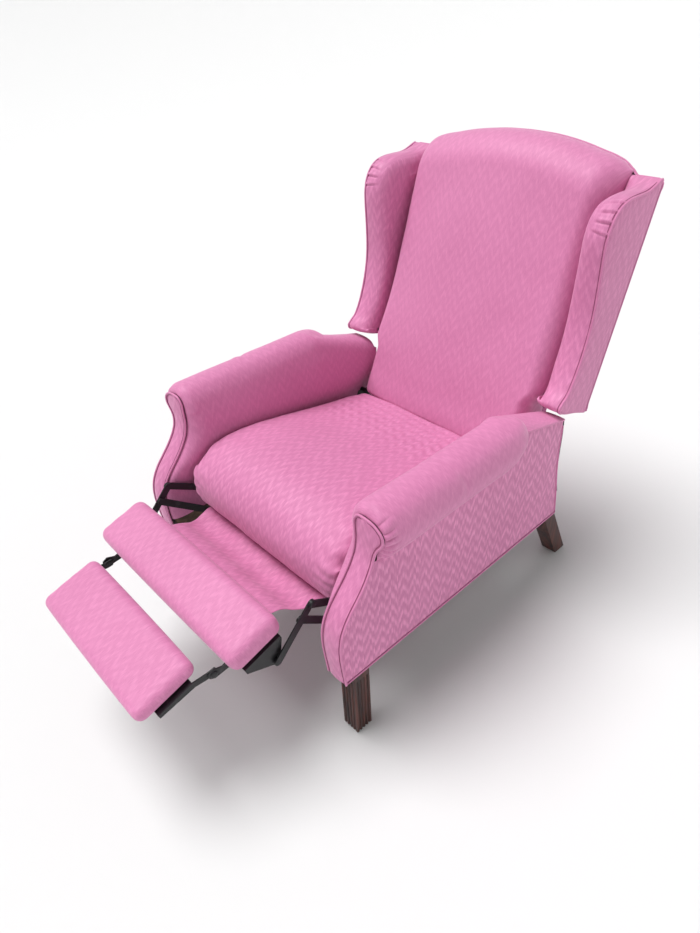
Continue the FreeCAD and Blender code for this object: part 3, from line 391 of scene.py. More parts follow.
def bump_from(tree, shader, height, strength, distance):
    """Fine relief on the shader, with its depth in metres."""
    n = node(tree, "ShaderNodeBump", [("Strength", strength), ("Distance", distance)], [("Height", height)])
    tree.links.new(n.outputs[0], shader.inputs["Normal"])


def ease_between(tree, value, low, high):
    """An eased rise from 0 at low to 1 at high."""
    return node(tree, "ShaderNodeMapRange", [("From Min", low), ("From Max", high)], [("Value", value)],
                interpolation_type="SMOOTHSTEP").outputs["Result"]


def mix_colour(tree, factor, a, b):
    """A colour from a to b by a factor."""
    n = tree.nodes.new("ShaderNodeMix")
    n.data_type = "RGBA"
    tree.links.new(factor, n.inputs[0])
    n.inputs[6].default_value = (*a, 1)
    n.inputs[7].default_value = (*b, 1)
    return n.outputs[2]


# The flame stitch, in metres: one column of stitches, half a zigzag, the zigzag's rise, the scatter of a
# column's start, and one row
COLUMN, ZIGZAG_HALF, ZIGZAG_RISE, SCATTER, ROW = 0.0036, 0.0165, 0.034, 0.011, 0.036


def woven(name, dark, light, contrast=1.0, relief=1.0):
    """A satin cloth with a flame stitch: short bright threads stepped into zigzag rows. The threads'
    brightness is partly their own colour and partly painted sheen.
    """
    material, tree, shader = nodes_of(name)
    uv = node(tree, "ShaderNodeUVMap", uv_map="cloth").outputs[0]
    parts = node(tree, "ShaderNodeSeparateXYZ", links=[(0, uv)]).outputs
    u, v = parts[0], parts[1]
    step = calc(tree, "FLOOR", calc(tree, "DIVIDE", u, COLUMN))
    column = calc(tree, "MULTIPLY", step, COLUMN)
    zigzag = calc(tree, "DIVIDE", calc(tree, "PINGPONG", column, ZIGZAG_HALF), ZIGZAG_HALF)
    chance = chance_at(tree, "W", step, "1D")
    lift = calc(tree, "ADD", calc(tree, "MULTIPLY", zigzag, ZIGZAG_RISE),
                calc(tree, "MULTIPLY", chance, SCATTER))
    climb = calc(tree, "DIVIDE", calc(tree, "ADD", v, lift), ROW)
    row = calc(tree, "FRACT", climb)
    cell = node(tree, "ShaderNodeCombineXYZ", links=[(0, step), (1, calc(tree, "FLOOR", climb))]).outputs[0]
    strength = chance_at(tree, "Vector", cell, "2D")
    band = calc(tree, "SUBTRACT", ease_between(tree, row, 0.03, 0.30), ease_between(tree, row, 0.38, 0.78))
    band = calc(tree, "MULTIPLY", band, calc(tree, "ADD", calc(tree, "MULTIPLY", strength, 0.7), 0.3))
    # Fine threads and broader slubs, both drawn out along the columns
    strands = noise_at(tree, scaled(tree, uv, (1300, 90, 1)), 1.0, 2.0)
    slubs = noise_at(tree, scaled(tree, uv, (260, 30, 1)), 1.0, 3.0)
    wear = noise_at(tree, object_place(tree), 3.0, 4.0)
    # The tone's light end is partly the threads' own colour and partly painted sheen of the satin threads.
    tone = swing(tree, band, 0.3, 0.95 * contrast)
    for value, gain in ((slubs, 0.75 * contrast), (strands, 0.8), (wear, 0.5)):
        tone = calc(tree, "ADD", tone, swing(tree, value, 0.5, gain))
    tone = node(tree, "ShaderNodeClamp", links=[(0, calc(tree, "ADD", tone, 0.5))]).outputs[0]
    tree.links.new(mix_colour(tree, tone, dark, light), shader.inputs["Base Color"])
    rough = calc(tree, "SUBTRACT", 0.66, calc(tree, "MULTIPLY", tone, 0.2))
    tree.links.new(rough, shader.inputs["Roughness"])
    height = calc(tree, "ADD", calc(tree, "MULTIPLY", band, 0.6 * contrast),
                  calc(tree, "MULTIPLY", strands, 0.4))
    bump_from(tree, shader, height, 0.5 * relief, 0.0006)
    shader.inputs["Sheen Weight"].default_value = 0.25
    shader.inputs["Sheen Roughness"].default_value = 0.45
    shader.inputs["Sheen Tint"].default_value = (1.0, 0.78, 0.92, 1)
    shader.inputs["Specular IOR Level"].default_value = 0.4
    return material


def wood(name, dark, light, scale, rough):
    """Wood with its grain stretched along one axis."""
    material, tree, shader = nodes_of(name)
    stretched = scaled(tree, object_place(tree), scale)
    grain = noise_at(tree, stretched, 1.0, 6.0, 0.8)
    pores = noise_at(tree, stretched, 4.0, 2.0)
    tone = ease_between(tree, grain, 0.32, 0.7)
    tree.links.new(mix_colour(tree, tone, dark, light), shader.inputs["Base Color"])
    tree.links.new(calc(tree, "ADD", rough, calc(tree, "MULTIPLY", pores, 0.18)), shader.inputs["Roughness"])
    bump_from(tree, shader, pores, 0.25, 0.0004)
    return material


def steel(name, colour, edge, rough, metallic):
    """Painted or bare steel with broad wear and a fine grain."""
    material, tree, shader = nodes_of(name)
    place = object_place(tree)
    broad = noise_at(tree, place, 26.0, 5.0)
    worn = ease_between(tree, broad, 0.56, 0.78)
    tree.links.new(mix_colour(tree, worn, colour, edge), shader.inputs["Base Color"])
    tree.links.new(calc(tree, "ADD", rough, calc(tree, "MULTIPLY", broad, 0.2)), shader.inputs["Roughness"])
    bump_from(tree, shader, noise_at(tree, place, 420.0, 3.0), 0.2, 0.0003)
    shader.inputs["Metallic"].default_value = metallic
    return material


def plain_cloth(name, dark, light, pitch, rough=0.9):
    """A plain weave with a given pitch in metres."""
    material, tree, shader = nodes_of(name)
    place = object_place(tree)
    parts = node(tree, "ShaderNodeSeparateXYZ", links=[(0, place)]).outputs
    waves = [calc(tree, "SINE", calc(tree, "MULTIPLY", p, 2 * math.pi / pitch)) for p in parts[:3]]
    weave = calc(tree, "MULTIPLY", calc(tree, "ADD", waves[0], waves[1]), waves[2])
    fuzz = noise_at(tree, place, 60.0, 5.0)
    tree.links.new(mix_colour(tree, fuzz, dark, light), shader.inputs["Base Color"])
    bump_from(tree, shader, weave, 0.4, 0.0004)
    shader.inputs["Roughness"].default_value = rough
    return material


PINK_DARK = (0.490, 0.140, 0.295)
PINK_LIGHT = (0.745, 0.270, 0.488)
# Copies of one cloth whose pattern contrast is set by how light falls on the parts they cover. It is strong
# on the shaded sides and faint on the brightly lit tops, where sheen would wash it out. This is painted
# light.
CLOTH = woven("flame_stitch_cloth", PINK_DARK, PINK_LIGHT, contrast=0.85)
LIT_SMOOTH_CLOTH = woven("flame_stitch_cloth_lit_smooth", PINK_DARK, PINK_LIGHT, contrast=0.22, relief=0.7)
PUCKERED = woven("flame_stitch_cloth_deep", PINK_DARK, PINK_LIGHT, contrast=0.4, relief=1.3)
PIPING = woven("piping_cloth", PINK_DARK, PINK_LIGHT, contrast=0.1, relief=0.5)
# A dark cloth for thin tubes laid in the seams: painted seam shadow.
SEAM_SHADOW = plain_cloth("seam_shadow", (0.24, 0.055, 0.13), (0.34, 0.085, 0.19), 0.002)
LINING = plain_cloth("pink_lining", (0.40, 0.10, 0.23), (0.52, 0.145, 0.31), 0.0016)
DARK_WOOD = wood("dark_leg_wood", (0.016, 0.005, 0.004), (0.105, 0.026, 0.017), (60, 60, 7), 0.34)
FRAME_WOOD = wood("frame_wood", (0.060, 0.038, 0.024), (0.15, 0.095, 0.055), (9, 40, 60), 0.6)
BLACK_STEEL = steel("black_steel", (0.012, 0.012, 0.014), (0.05, 0.05, 0.055), 0.32, 0.2)
BRIGHT_STEEL = steel("bright_steel", (0.42, 0.42, 0.43), (0.30, 0.30, 0.31), 0.28, 1.0)
BLACK_CLOTH = plain_cloth("black_dust_cloth", (0.006, 0.006, 0.007), (0.022, 0.021, 0.022), 0.0016)
WEBBING = plain_cloth("webbing", (0.16, 0.14, 0.09), (0.30, 0.27, 0.20), 0.003)
PLASTIC = steel("black_plastic", (0.02, 0.02, 0.02), (0.035, 0.035, 0.035), 0.45, 0.0)

# What isn't dressed shows its own solid, in the material of its slot
BY_SLOT = {"woven_cloth": CLOTH, "dark_wood": DARK_WOOD, "frame_wood": FRAME_WOOD,
           "dust_cloth": BLACK_CLOTH, "webbing": WEBBING, "plastic": PLASTIC,
           "black_steel": BLACK_STEEL, "bright_steel": BRIGHT_STEEL}
LINED = ("back_posts", "wing_frames", "back_bottom_rail")
for part in frame["record"]["subparts"]:
    obj = frame["nodes"][part["node"]]
    material = BY_SLOT[part["material_slot"]]
    if "rivet" in part["node"] or part["node"].endswith("pins"):
        material = BLACK_STEEL
    if part["node"] in LINED:
        material = LINING
    obj.data.materials.clear()
    obj.data.materials.append(material)


# The arm's front outline and heights along it

ARM_FRONT = ((202, -400.5), (225, -402.5), (260, -406), (300, -408.5), (331, -407), (361, -399.5),
             (380, -390), (400, -376), (420, -358), (441, -340), (463, -324.5), (486, -312.5), (512, -306),
             (545, -305), (600, -305))
ARM_FOOT, HEAD_TOP = 202, 584.5
HEAD_MIDDLE, HEAD_FRONT = (335.0, 540.0), -305.0
BORDER_INNER = 305.0


def front_y(z):
    """The arm's front edge at a height."""
    return spline(ARM_FRONT, z)


def head_outer(z):
    """Outer edge of the front border: straight, then the scroll head's bulge."""
    return spline(((202, 360), (440, 360), (478, 358.5), (500, 359), (514, 362), (526, 368), (537, 376),
                   (548, 381), (558, 380.5), (568, 375), (576, 365), (582, 350), (584.5, 330)), z)


def head_inner(z):
    """Inner edge of the front border."""
    return spline(((202, 305), (500, 305), (556, 304), (568, 306), (577, 311), (582.5, 319),
                   (584.5, 329)), z)


def border_rows():
    """Heights of the border's rows, closer together round the scroll head."""
    crown = HEAD_TOP - 18.5 * np.linspace(1, 0, 14) ** 2 * 0.97
    rows = np.r_[np.linspace(ARM_FOOT, 500, 70), np.linspace(504, 566, 22), crown]
    return np.unique(np.round(rows, 3))


def arm_border(side_name, side):
    """The padded S shaped front of an arm, up to the scroll head, with piping and a thin dark tube of
    painted seam shadow round it.
    """
    cols = 17
    z = border_rows()
    zz = np.repeat(z[:, None], cols, 1)
    w = np.linspace(0, 1, cols)
    left, right = head_inner(z), head_outer(z)
    x = left[:, None] + (right - left)[:, None] * w
    swell = np.sin(np.pi * w) ** 0.7 * np.clip((right - left)[:, None] / 55, 0, 1)
    depth = 5.5 + 1.2 * noise3(np.stack([x, 0 * x, zz], -1), 60, 3)
    y = front_y(z)[:, None] + 1.5 - depth * swell
    pts = np.stack([side * x, y, zz], -1)
    run = distance_along(np.column_stack([z, front_y(z)]))
    uv = np.stack([x, np.repeat(run[:, None], cols, 1)], -1) / 1000
    make(f"arm_front_cover_{side_name}", pts, grid_faces(len(z), cols, flip=side > 0), "base", PUCKERED,
         [f"arm_front_border_{side_name}"], uv=uv)
    foot = z[0]
    edge = ([(BORDER_INNER, front_y(k), k) for k in np.linspace(foot, 556, 60)]
            + [(head_inner(k), front_y(k), k) for k in np.linspace(560, 584, 10)]
            + [(head_outer(k), front_y(k), k) for k in np.linspace(584, 514, 26)]
            + [(head_outer(k), front_y(k), k) for k in np.linspace(508, foot, 56)])
    line = path([(side * a, b - 0.6, c) for a, b, c in edge], 220)
    tube(f"arm_front_piping_{side_name}", line, 2.7, "base", PIPING)
    # A thin dark tube just inside the piping: painted seam shadow.
    inset, proud = -4.6, -1.4
    seam = []
    for i, (a, b, c) in enumerate(line):
        t = line[min(i + 1, len(line) - 1)] - line[max(i - 1, 0)]
        n = np.array([-t[2], 0, t[0]]) * side
        n /= max(np.hypot(n[0], n[2]), 1e-6)
        seam.append((a + inset * n[0], b + proud, c + inset * n[2]))
    tube(f"arm_front_seam_shadow_{side_name}", seam, 0.65, "base", SEAM_SHADOW, sides=6)


# The arm's cover: up the inner side, over the roll and down to the outer seam. Knots are (share, x, z).

ROLL_KNOTS = ((0.00, 292, 262), (0.07, 292, 300), (0.15, 291, 350), (0.21, 285, 388), (0.27, 276, 420),
              (0.34, 272, 455), (0.42, 273, 500), (0.49, 277, 540), (0.55, 286, 573), (0.61, 305, 596),
              (0.67, 331, 604), (0.73, 358, 599), (0.79, 379, 582), (0.84, 390, 555), (0.89, 390, 528),
              (0.94, 382, 507), (0.98, 371, 494), (1.00, 356, 488))
SHELF_FRONT = ((0, 292, 262), (0.07, 292, 300), (0.15, 291, 350), (0.21, 285, 388), (0.27, 277, 420),
               (0.34, 273, 455), (0.42, 273, 495), (0.49, 276, 532), (0.55, 283, 562), (0.61, 296, 579),
               (0.67, 314, 585), (0.73, 332, 583), (0.79, 345, 577), (0.84, 353, 571), (0.89, 358, 565),
               (0.94, 360.5, 561), (0.98, 361, 558.5), (1, 360.5, 555))
SHELF_REAR = ((0, 292, 262), (0.07, 292, 300), (0.15, 291, 345), (0.21, 287, 378), (0.27, 280, 402),
              (0.34, 275, 425), (0.42, 274, 448), (0.49, 276, 472), (0.55, 281, 492), (0.61, 292, 507),
              (0.67, 308, 514), (0.73, 326, 516.5), (0.79, 341, 517), (0.84, 351, 516.5), (0.89, 357, 516),
              (0.94, 360.5, 515), (0.98, 361, 513), (1, 360.5, 510))


def arm_section(s, y):
    """The arm cover's section at y, for shares s of the way from the inner foot to the outer seam."""
    shelf_from, shelf_length, roll_end = 150, 180, 168
    roll = spline(ROLL_KNOTS, s)
    back = np.clip((y - shelf_from) / shelf_length, -0.4, 1.15)[..., None]
    shelf = spline(SHELF_FRONT, s) * (1 - back) + spline(SHELF_REAR, s) * back
    # The roll ends in a rounded cap on its outer side, and flows into the shelf on top
    begin = np.interp(s, [0.70, 0.84, 0.94, 1.0], [104, 104, 76, 66])
    e = np.clip((y - begin) / (roll_end - begin), 0, 1)
    cap = 1 - np.sqrt(1 - e * e)
    top = smooth((y - 82) / 52)
    outer = smooth((s - 0.64) / 0.12)
    turn = (top * (1 - outer) + cap * outer)[..., None]
    return roll * (1 - turn) + shelf * turn


def arm_cover(side_name, side):
    """The cover of an arm's inner side, roll and shelf, gathered at the scroll head."""
    s = np.r_[np.linspace(0, 0.5, 54)[:-1], np.linspace(0.5, 0.66, 44)[:-1], np.linspace(0.66, 1.0, 130)]
    t = np.r_[np.linspace(0, 0.07, 30)[:-1], np.linspace(0.07, 1, 96)]
    count, along = len(s), len(t)
    full = arm_section(s, np.full(count, -150.0))
    inner = s < 0.5
    start = np.where(inner, front_y(full[:, 1]), HEAD_FRONT) + 4.5
    end = np.interp(full[:, 1], [202, 420, 500, 620], [364, 333, 332, 331])
    y = start[:, None] + (end - start)[:, None] * t
    section = arm_section(np.repeat(s[:, None], along, 1), y)
    x, z = section[..., 0], section[..., 1]
    dist = y - start[:, None]
    mid_x, mid_z = HEAD_MIDDLE
    ring = np.arctan2(x - mid_x, z - mid_z)
    rim_x, rim_z = head_rim(ring, mid_x, mid_z)
    # From the head's rim, or the border's inner edge below it, the section grows to its full size
    fade = smooth((s - 0.42) / 0.10)[:, None]
    base_x = BORDER_INNER * (1 - fade) + rim_x * fade
    base_z = z * (1 - fade) + rim_z * fade
    side_depth, roll_depth = 42, 24
    grow = np.where(inner[:, None], quarter(dist / side_depth), quarter(dist / roll_depth))
    px = base_x + (x - base_x) * grow
    pz = base_z + (z - base_z) * grow
    out = np.stack([px - mid_x, pz - mid_z], -1)
    out /= np.maximum(np.linalg.norm(out, axis=-1, keepdims=True), 1e-6)
    upper = smooth((s - 0.45) / 0.12)[:, None]
    place = np.stack([px, y * 0.45, pz], -1)
    # Gathers behind the head, slow ripples, and one crease across the roll
    window = smooth((ring - 0.35) / 0.5) * smooth((2.75 - ring) / 0.35)
    phase = ring * 19 + 1.6 * noise3(place, 26, 7) + dist * 0.035
    gather = 7.5 * (np.abs(np.sin(phase / 2)) ** 0.6 - 0.8) * window
    gather = gather * np.exp(-(dist / 22) ** 2) * quarter(dist / 5)
    ripple = 1.1 * noise3(place, 52, 5) + 0.5 * noise3(place, 24, 6)
    over = smooth((s - 0.6) / 0.1)[:, None]
    taper = smooth((0.93 - s) / 0.1)[:, None]
    lean = 0.35 * (px - 330)
    crease = -2.4 * np.exp(-((y + 95 - lean) / 7) ** 2) * over * taper
    crease += 1.2 * np.exp(-((y + 112 - lean) / 11) ** 2) * over * taper
    move = (gather + ripple + crease) * upper * quarter(dist / 3)
    px = px + out[..., 0] * move
    pz = pz + out[..., 1] * move
    px = px - (1 - upper) * ripple * quarter(dist / 60)
    run = distance_along(full)
    uv = np.stack([y, np.repeat(run[:, None], along, 1)], -1) / 1000
    pts = np.stack([side * px, y, pz], -1)
    obj = make(f"arm_cover_{side_name}", pts, grid_faces(count, along), "base", LIT_SMOOTH_CLOTH,
               [f"arm_roll_{side_name}", f"arm_inner_pad_{side_name}"], uv=uv)


def head_rim(angle, mid_x, mid_z):
    """Points of the scroll head's edge in the direction of an angle from straight up."""
    z = np.r_[np.linspace(478, 584.4, 160), np.linspace(584.4, 478, 160)]
    x = np.r_[head_inner(z[:160]), head_outer(z[160:])]
    a = np.arctan2(x - mid_x, z - mid_z)
    order = np.argsort(a)
    return (np.interp(angle, a[order], x[order], period=2 * math.pi),
            np.interp(angle, a[order], z[order], period=2 * math.pi))


def outer_top(y):
    """Top edge of the arm's outer panel: tucked up under the roll, then the shelf's seam."""
    return np.interp(y, [-305, 60, 110, 140, 155, 164, 170, 330, 366],
                     [490, 492, 500, 517, 534, 552, 554, 511, 502])


def rear_edge(z):
    """The arm's rear edge at a height."""
    return np.interp(z, [202, 276, 354, 422, 479, 560], [364, 353, 339, 331, 332, 332])


def arm_outside(side_name, side):
    """The outer panel of an arm with its hem and a thin dark tube of painted seam shadow along it, its rear
    edge and the black cloth behind it.
    """
    rows, cols = 46, 120
    foot, rear_foot = 201.0, 364
    v = np.linspace(0, 1, rows)[:, None]
    w = np.linspace(0, 1, cols)[None, :]
    y = -400 + (rear_foot + 400) * w + 0 * v
    for _ in range(4):
        z = foot + (outer_top(y) - foot) * v
        y = front_y(z) - 0.5 + (rear_edge(z) - front_y(z) + 0.5) * w
    z = foot + (outer_top(y) - foot) * v
    edge = np.minimum(np.minimum(w, 1 - w) / 0.05, np.minimum(v, 1 - v) / 0.12)
    x = 358.3 + 2.2 * quarter(edge) + 0.8 * noise3(np.stack([0 * y, y * 0.6, z], -1), 90, 8)
    pts = np.stack([side * x, y, z], -1)
    uv = np.stack([y, z + 0 * y], -1) / 1000
    obj = make(f"arm_outside_cover_{side_name}", pts, grid_faces(rows, cols, flip=side < 0), "base", CLOTH,
               [f"arm_side_panel_{side_name}"], uv=uv)
    ys = np.linspace(float(front_y(202.0)) + 3, 363, 60)
    tube(f"arm_hem_{side_name}", [(side * 359.6, k, 204.0) for k in ys], 2.5, "base", PIPING)
    # A thin dark tube beside the hem piping: painted seam shadow.
    tube(f"arm_hem_seam_shadow_{side_name}", [(side * 361.0, k, 208.6) for k in ys], 0.6, "base", SEAM_SHADOW, sides=6)
    welt = [(side * 359.0, float(rear_edge(k)), k) for k in np.linspace(204, 494, 40)]
    tube(f"arm_rear_edge_{side_name}", welt, 2.2, "base", PIPING)
    rear = np.linspace(204, 494, 30)
    strip = [[(side * q, float(rear_edge(k)) + 0.4, k) for q in (274 if k > 400 else 293, 330, 359)]
             for k in rear]
    uv = [[(q / 1000, k / 1000) for q in (280, 330, 359)] for k in rear]
    make(f"arm_rear_cover_{side_name}", strip, grid_faces(30, 3, flip=side > 0), "base", CLOTH, uv=uv)
    seam = [(side * 360.8, k, float(outer_top(k)) + 1.2) for k in np.linspace(168, 331, 30)]
    tube(f"shelf_piping_{side_name}", seam, 1.6, "base", PIPING, sides=8)
    band = np.linspace(276, 500, 24)
    dark = [[(side * q, float(rear_edge(k)) + 1.5 + d, k) for q, d in
             ((300, 0.5), (320, 6), (355, 10 + 3 * math.sin(k / 31)), (356.5, 8 + 3 * math.sin(k / 31)),
              (357, 0.5))] for k in band]
    make(f"black_edge_cloth_{side_name}", dark, grid_faces(24, 5), "base", BLACK_CLOTH)


# Wings

WING_REAR = -16


def outline_normals(p):
    """Unit normals of an outline in a plane."""
    n = np.gradient(p, axis=0)
    n = np.stack([-n[:, 1], n[:, 0]], -1)
    return n / np.linalg.norm(n, axis=1, keepdims=True)


def wing_ring(x_share, count):
    """The wing's side outline (rearward, up) at a share of its thickness, 0 inside to 1 outside."""
    outline = [(-16, 3), (-70, 7), (-128, 10), (-148, 14), (-154, 24), (-149, 38), (-137, 54), (-127, 85),
               (-122.5, 125), (-122.5, 170), (-127, 215), (-137, 258), (-150, 297), (-163, 332),
               (-176, 366), (-185.5, 398), (-187.5, 425), (-181, 452), (-163, 476), (-135, 492),
               (-103, 503), (-70, 513), (-40, 527), (-16, 541)]
    p = path(outline, count)
    draw = spline(((0, 1), (0.06, 0.62), (0.16, 0.32), (0.32, 0.12), (0.5, 0.02), (0.7, 0), (0.9, 0.04),
                   (1, 0.13)), x_share)
    reach = spline(((0, 46), (40, 44), (90, 22), (160, 17), (280, 19), (340, 30), (400, 42), (600, 42)),
                   p[:, 1])
    front = smooth((-20 - p[:, 0]) / 45)
    amount = draw * reach * front * (0.2 + 0.8 * smooth((p[:, 1] - 4) / 40))
    q = p - outline_normals(p) * amount[:, None]
    q[:, 0] = np.minimum(q[:, 0], WING_REAR)
    return q


def wing(side_name, side):
    """A wing: a padded rim with pleats round its top, closed by a nearly flat face on each side."""
    count = 340
    inside, outside = 290.6, 359.2
    share = np.r_[np.linspace(0, 0.2, 12)[:-1], np.linspace(0.2, 0.86, 14)[:-1], np.linspace(0.86, 1, 9)]
    x = inside + (outside - inside) * share
    rings = np.array([wing_ring(k, count) for k in share])
    pts = np.concatenate([np.repeat(x[:, None, None], count, 1), rings], -1)
    base = rings[len(share) // 2]
    run = distance_along(base)
    # Pleats over the top: place along the rim, lean and depth of each
    pleat = np.zeros((len(share), count))
    for centre, lean, size in ((0.700, -10, 3.0), (0.731, 2, 4.2), (0.762, 12, 4.0), (0.796, 22, 3.0)):
        off = run[None, :] - centre * run[-1] - lean * (share[:, None] - 0.85)
        long = smooth((share[:, None] - 0.30) / 0.35)
        pleat -= size * np.exp(-(off / 2.2) ** 2) * long
        pleat += 0.55 * size * np.exp(-((off - 5.5) / 3.6) ** 2) * long
    n = outline_normals(base)
    ease = smooth((1 - share) / 0.03)[:, None]
    shape = pleat * ease + 0.9 * noise3(pts, 50, 11) * ease
    pts[..., 1] += n[None, :, 0] * shape
    pts[..., 2] += n[None, :, 1] * shape
    flat = pts.reshape(-1, 3).tolist()
    faces = grid_faces(len(share), count, flip=side > 0)
    # The two faces: rings of the rim's ends drawn back to the wing's rear edge
    levels = 12
    for row, sign, bulge in ((0, -1, 2.0), (len(share) - 1, 1, 1.8)):
        ring = pts[row]
        index = [list(range(row * count, row * count + count))]
        for k in range(1, levels + 1):
            f = 1 - k / levels
            near = smooth((1 - f) / 0.25)
            level = []
            for q in ring:
                flat.append([q[0] + sign * (bulge * near), WING_REAR + (q[1] - WING_REAR) * f, q[2]])
                level.append(len(flat) - 1)
            index.append(level)
        for a, b in zip(index, index[1:]):
            for i in range(count - 1):
                quad = (a[i], a[i + 1], b[i + 1], b[i])
                faces.append(quad if sign == side else quad[::-1])
    body = np.array(flat)
    body[:, 0] *= side
    obj = make(f"wing_cover_{side_name}", body, faces, "back", PUCKERED, [f"wing_pad_{side_name}"],
               place=from_back)

    def rule(p, normal):
        """Cloth laid straight on the side faces, and round the rim elsewhere."""
        back, up = untilted(p, BACK_ORIGIN, BACK_TILT)
        across = p[:, 0] * 1000 * side
        return np.stack([np.where(np.abs(normal[:, 0]) > 0.6, back, across), up], -1) / 1000

    face_uv(obj, rule)
    ring = wing_ring(0.985, 200)
    welt = np.column_stack([np.full(len(ring), side * 359.0), ring])
    tube(f"wing_piping_{side_name}", welt, 2.7, "back", PIPING, place=from_back)
    # A thin dark tube just inside the wing's piping: painted seam shadow.
    ring = wing_ring(0.93, 240)
    seam = np.column_stack([np.full(len(ring), side * 354.6), ring])
    tube(f"wing_seam_shadow_{side_name}", seam[5:-5], 0.7, "back", SEAM_SHADOW, place=from_back, sides=6)


# The back cushion and the outside back

def crest(x):
    """Height of the back's arched top at x."""
    knots = ((0, 605), (78, 602), (150, 592.5), (200, 582), (236, 574), (264, 564), (281, 553), (292, 546))
    return spline(knots, np.abs(x))


def back_half(z):
    """Half the back cushion's width at z, narrower below the wings."""
    return 270 + 18.5 * smooth((z + 14) / 42)


def back_front():
    """The back cushion: a crowned front that rolls over its sides, its arched top and its foot."""
    cols, rows = 160, 190
    a = np.linspace(-1, 1, cols)
    a = np.sign(a) * (1 - (1 - np.abs(a)) ** 1.5)
    b = np.linspace(0, 1, rows)
    b = np.where(b > 0.6, 0.6 + 0.4 * (1 - (1 - (b - 0.6) / 0.4) ** 1.6), b)
    b = np.where(b < 0.15, 0.15 * (b / 0.15) ** 1.6, b)
    low, depth_behind = -172.0, -54
    corner = 10 * np.abs(a[None, :]) ** 6
    z = low + (600 - low) * b[:, None] + 0 * a[None, :]
    for _ in range(4):
        x = back_half(z) * a[None, :]
        z = low + corner + (crest(x) - low - corner) * b[:, None]
    half = back_half(z)
    x = half * a[None, :]
    # How far each point is inside the cushion's edges, which the front rolls over
    side_in, top_in, low_in = half - np.abs(x), crest(x) - z, z - low - corner
    rear = depth_behind + 38 * smooth((z + 4) / 24)
    depth = spline(((-175, 148), (-120, 148), (-70, 140), (0, 130), (60, 122), (160, 115), (300, 109),
                    (420, 106), (520, 104), (610, 100)), z)
    crown = 9.0 * (1 - (x / 288) ** 2) * smooth((z + 130) / 200)
    dimple = -4.0 * np.exp(-((x - 120) / 60) ** 2 - ((z - 150) / 70) ** 2)
    point = np.stack([x, 0 * x, z], -1)
    wave = 1.8 * noise3(point, 150, 21) + 0.7 * noise3(point, 55, 22)
    sides = quarter(side_in / (36 + 18 * smooth(z / 200)))
    swell = sides * quarter(top_in / 92) ** 1.05 * quarter(low_in / 30)
    y = rear - (depth + rear + crown + dimple + wave) * swell
    front = np.stack([x, y, z], -1)
    run_x = np.cumsum(np.r_[np.zeros((1, rows)), np.hypot(np.diff(x, axis=1), np.diff(y, axis=1)).T], 0).T
    run_x -= run_x[:, cols // 2][:, None]
    run_z = np.cumsum(np.r_[np.zeros((1, cols)), np.hypot(np.diff(z, axis=0), np.diff(y, axis=0))], 0)
    uv = (np.stack([run_x, run_z], -1) / 1000).reshape(-1, 2)
    behind = np.stack([x, rear + 0 * x, z], -1)
    points = np.concatenate([front.reshape(-1, 3), behind.reshape(-1, 3)])
    first = grid_faces(rows, cols)
    faces = first + [tuple(k + rows * cols for k in f[::-1]) for f in first]
    obj = make("back_cushion_cover", points, faces, "back", LIT_SMOOTH_CLOTH, ["back_cushion"],
               uv=np.concatenate([uv, uv]), place=from_back)
    weld(obj)


def weld(obj):
    """Joins the points that lie on one another."""
    bm = bmesh.new()
    bm.from_mesh(obj.data)
    bmesh.ops.remove_doubles(bm, verts=bm.verts, dist=0.0001)
    bmesh.ops.recalc_face_normals(bm, faces=bm.faces)
    bm.to_mesh(obj.data)
    bm.free()


def outside_back():
    """The flat cover behind the back, with its piping and edge."""
    cols, rows = 80, 70
    half, foot = 357.5, 1.5
    a = np.linspace(-1, 1, cols)[None, :]
    b = np.linspace(0, 1, rows)[:, None]
    x = half * a + 0 * b
    top = np.where(np.abs(x) < 288, crest(x) - 1, 541.5 - (np.abs(x) - 288) / 70)
    z = foot + (top - foot) * b
    edge = np.minimum(np.minimum(1 - np.abs(a), b * 1.5 + 0 * a), (1 - b) * 1.5 + 0 * a) / 0.06
    y = -3.5 + 4.5 * quarter(edge) + 1.2 * noise3(np.stack([x, 0 * x, z], -1), 120, 31) * quarter(edge / 2)
    y = np.minimum(y, 2.2)
    uv = np.stack([x, z], -1) / 1000
    rear = make("outside_back_cover", np.stack([x, y, z], -1), grid_faces(rows, cols, flip=True), "back",
                CLOTH, ["outside_back"], uv=uv, place=from_back)
    line = ([(-half, k) for k in np.linspace(2, 535, 26)]
            + [(k, 541.0 if abs(k) > 293 else float(crest(k)) + 0.5) for k in np.linspace(-352, 352, 90)]
            + [(half, k) for k in np.linspace(535, 2, 26)]
            + [(k, foot) for k in np.linspace(350, -350, 30)])
    rim = path([(p, -6.0, q) for p, q in line], 320)
    tube("outside_back_piping", rim, 2.6, "back", PIPING, place=from_back, closed=True)
    band = [[(p * 0.9985, -15.8, q - 0.6), (p, -5.0, q)] for p, _, q in rim]
    make("outside_back_edge", band, grid_faces(len(rim), 2, close_rows=True), "back", CLOTH,
         uv=[[(i * 0.006, 0), (i * 0.006, 0.01)] for i in range(len(rim))], place=from_back)


# The seat

SEAT_TOP = ((-330, 408), (-300, 442), (-257, 461), (-202, 466), (-128, 458), (10, 430), (129, 407),
            (245, 386))


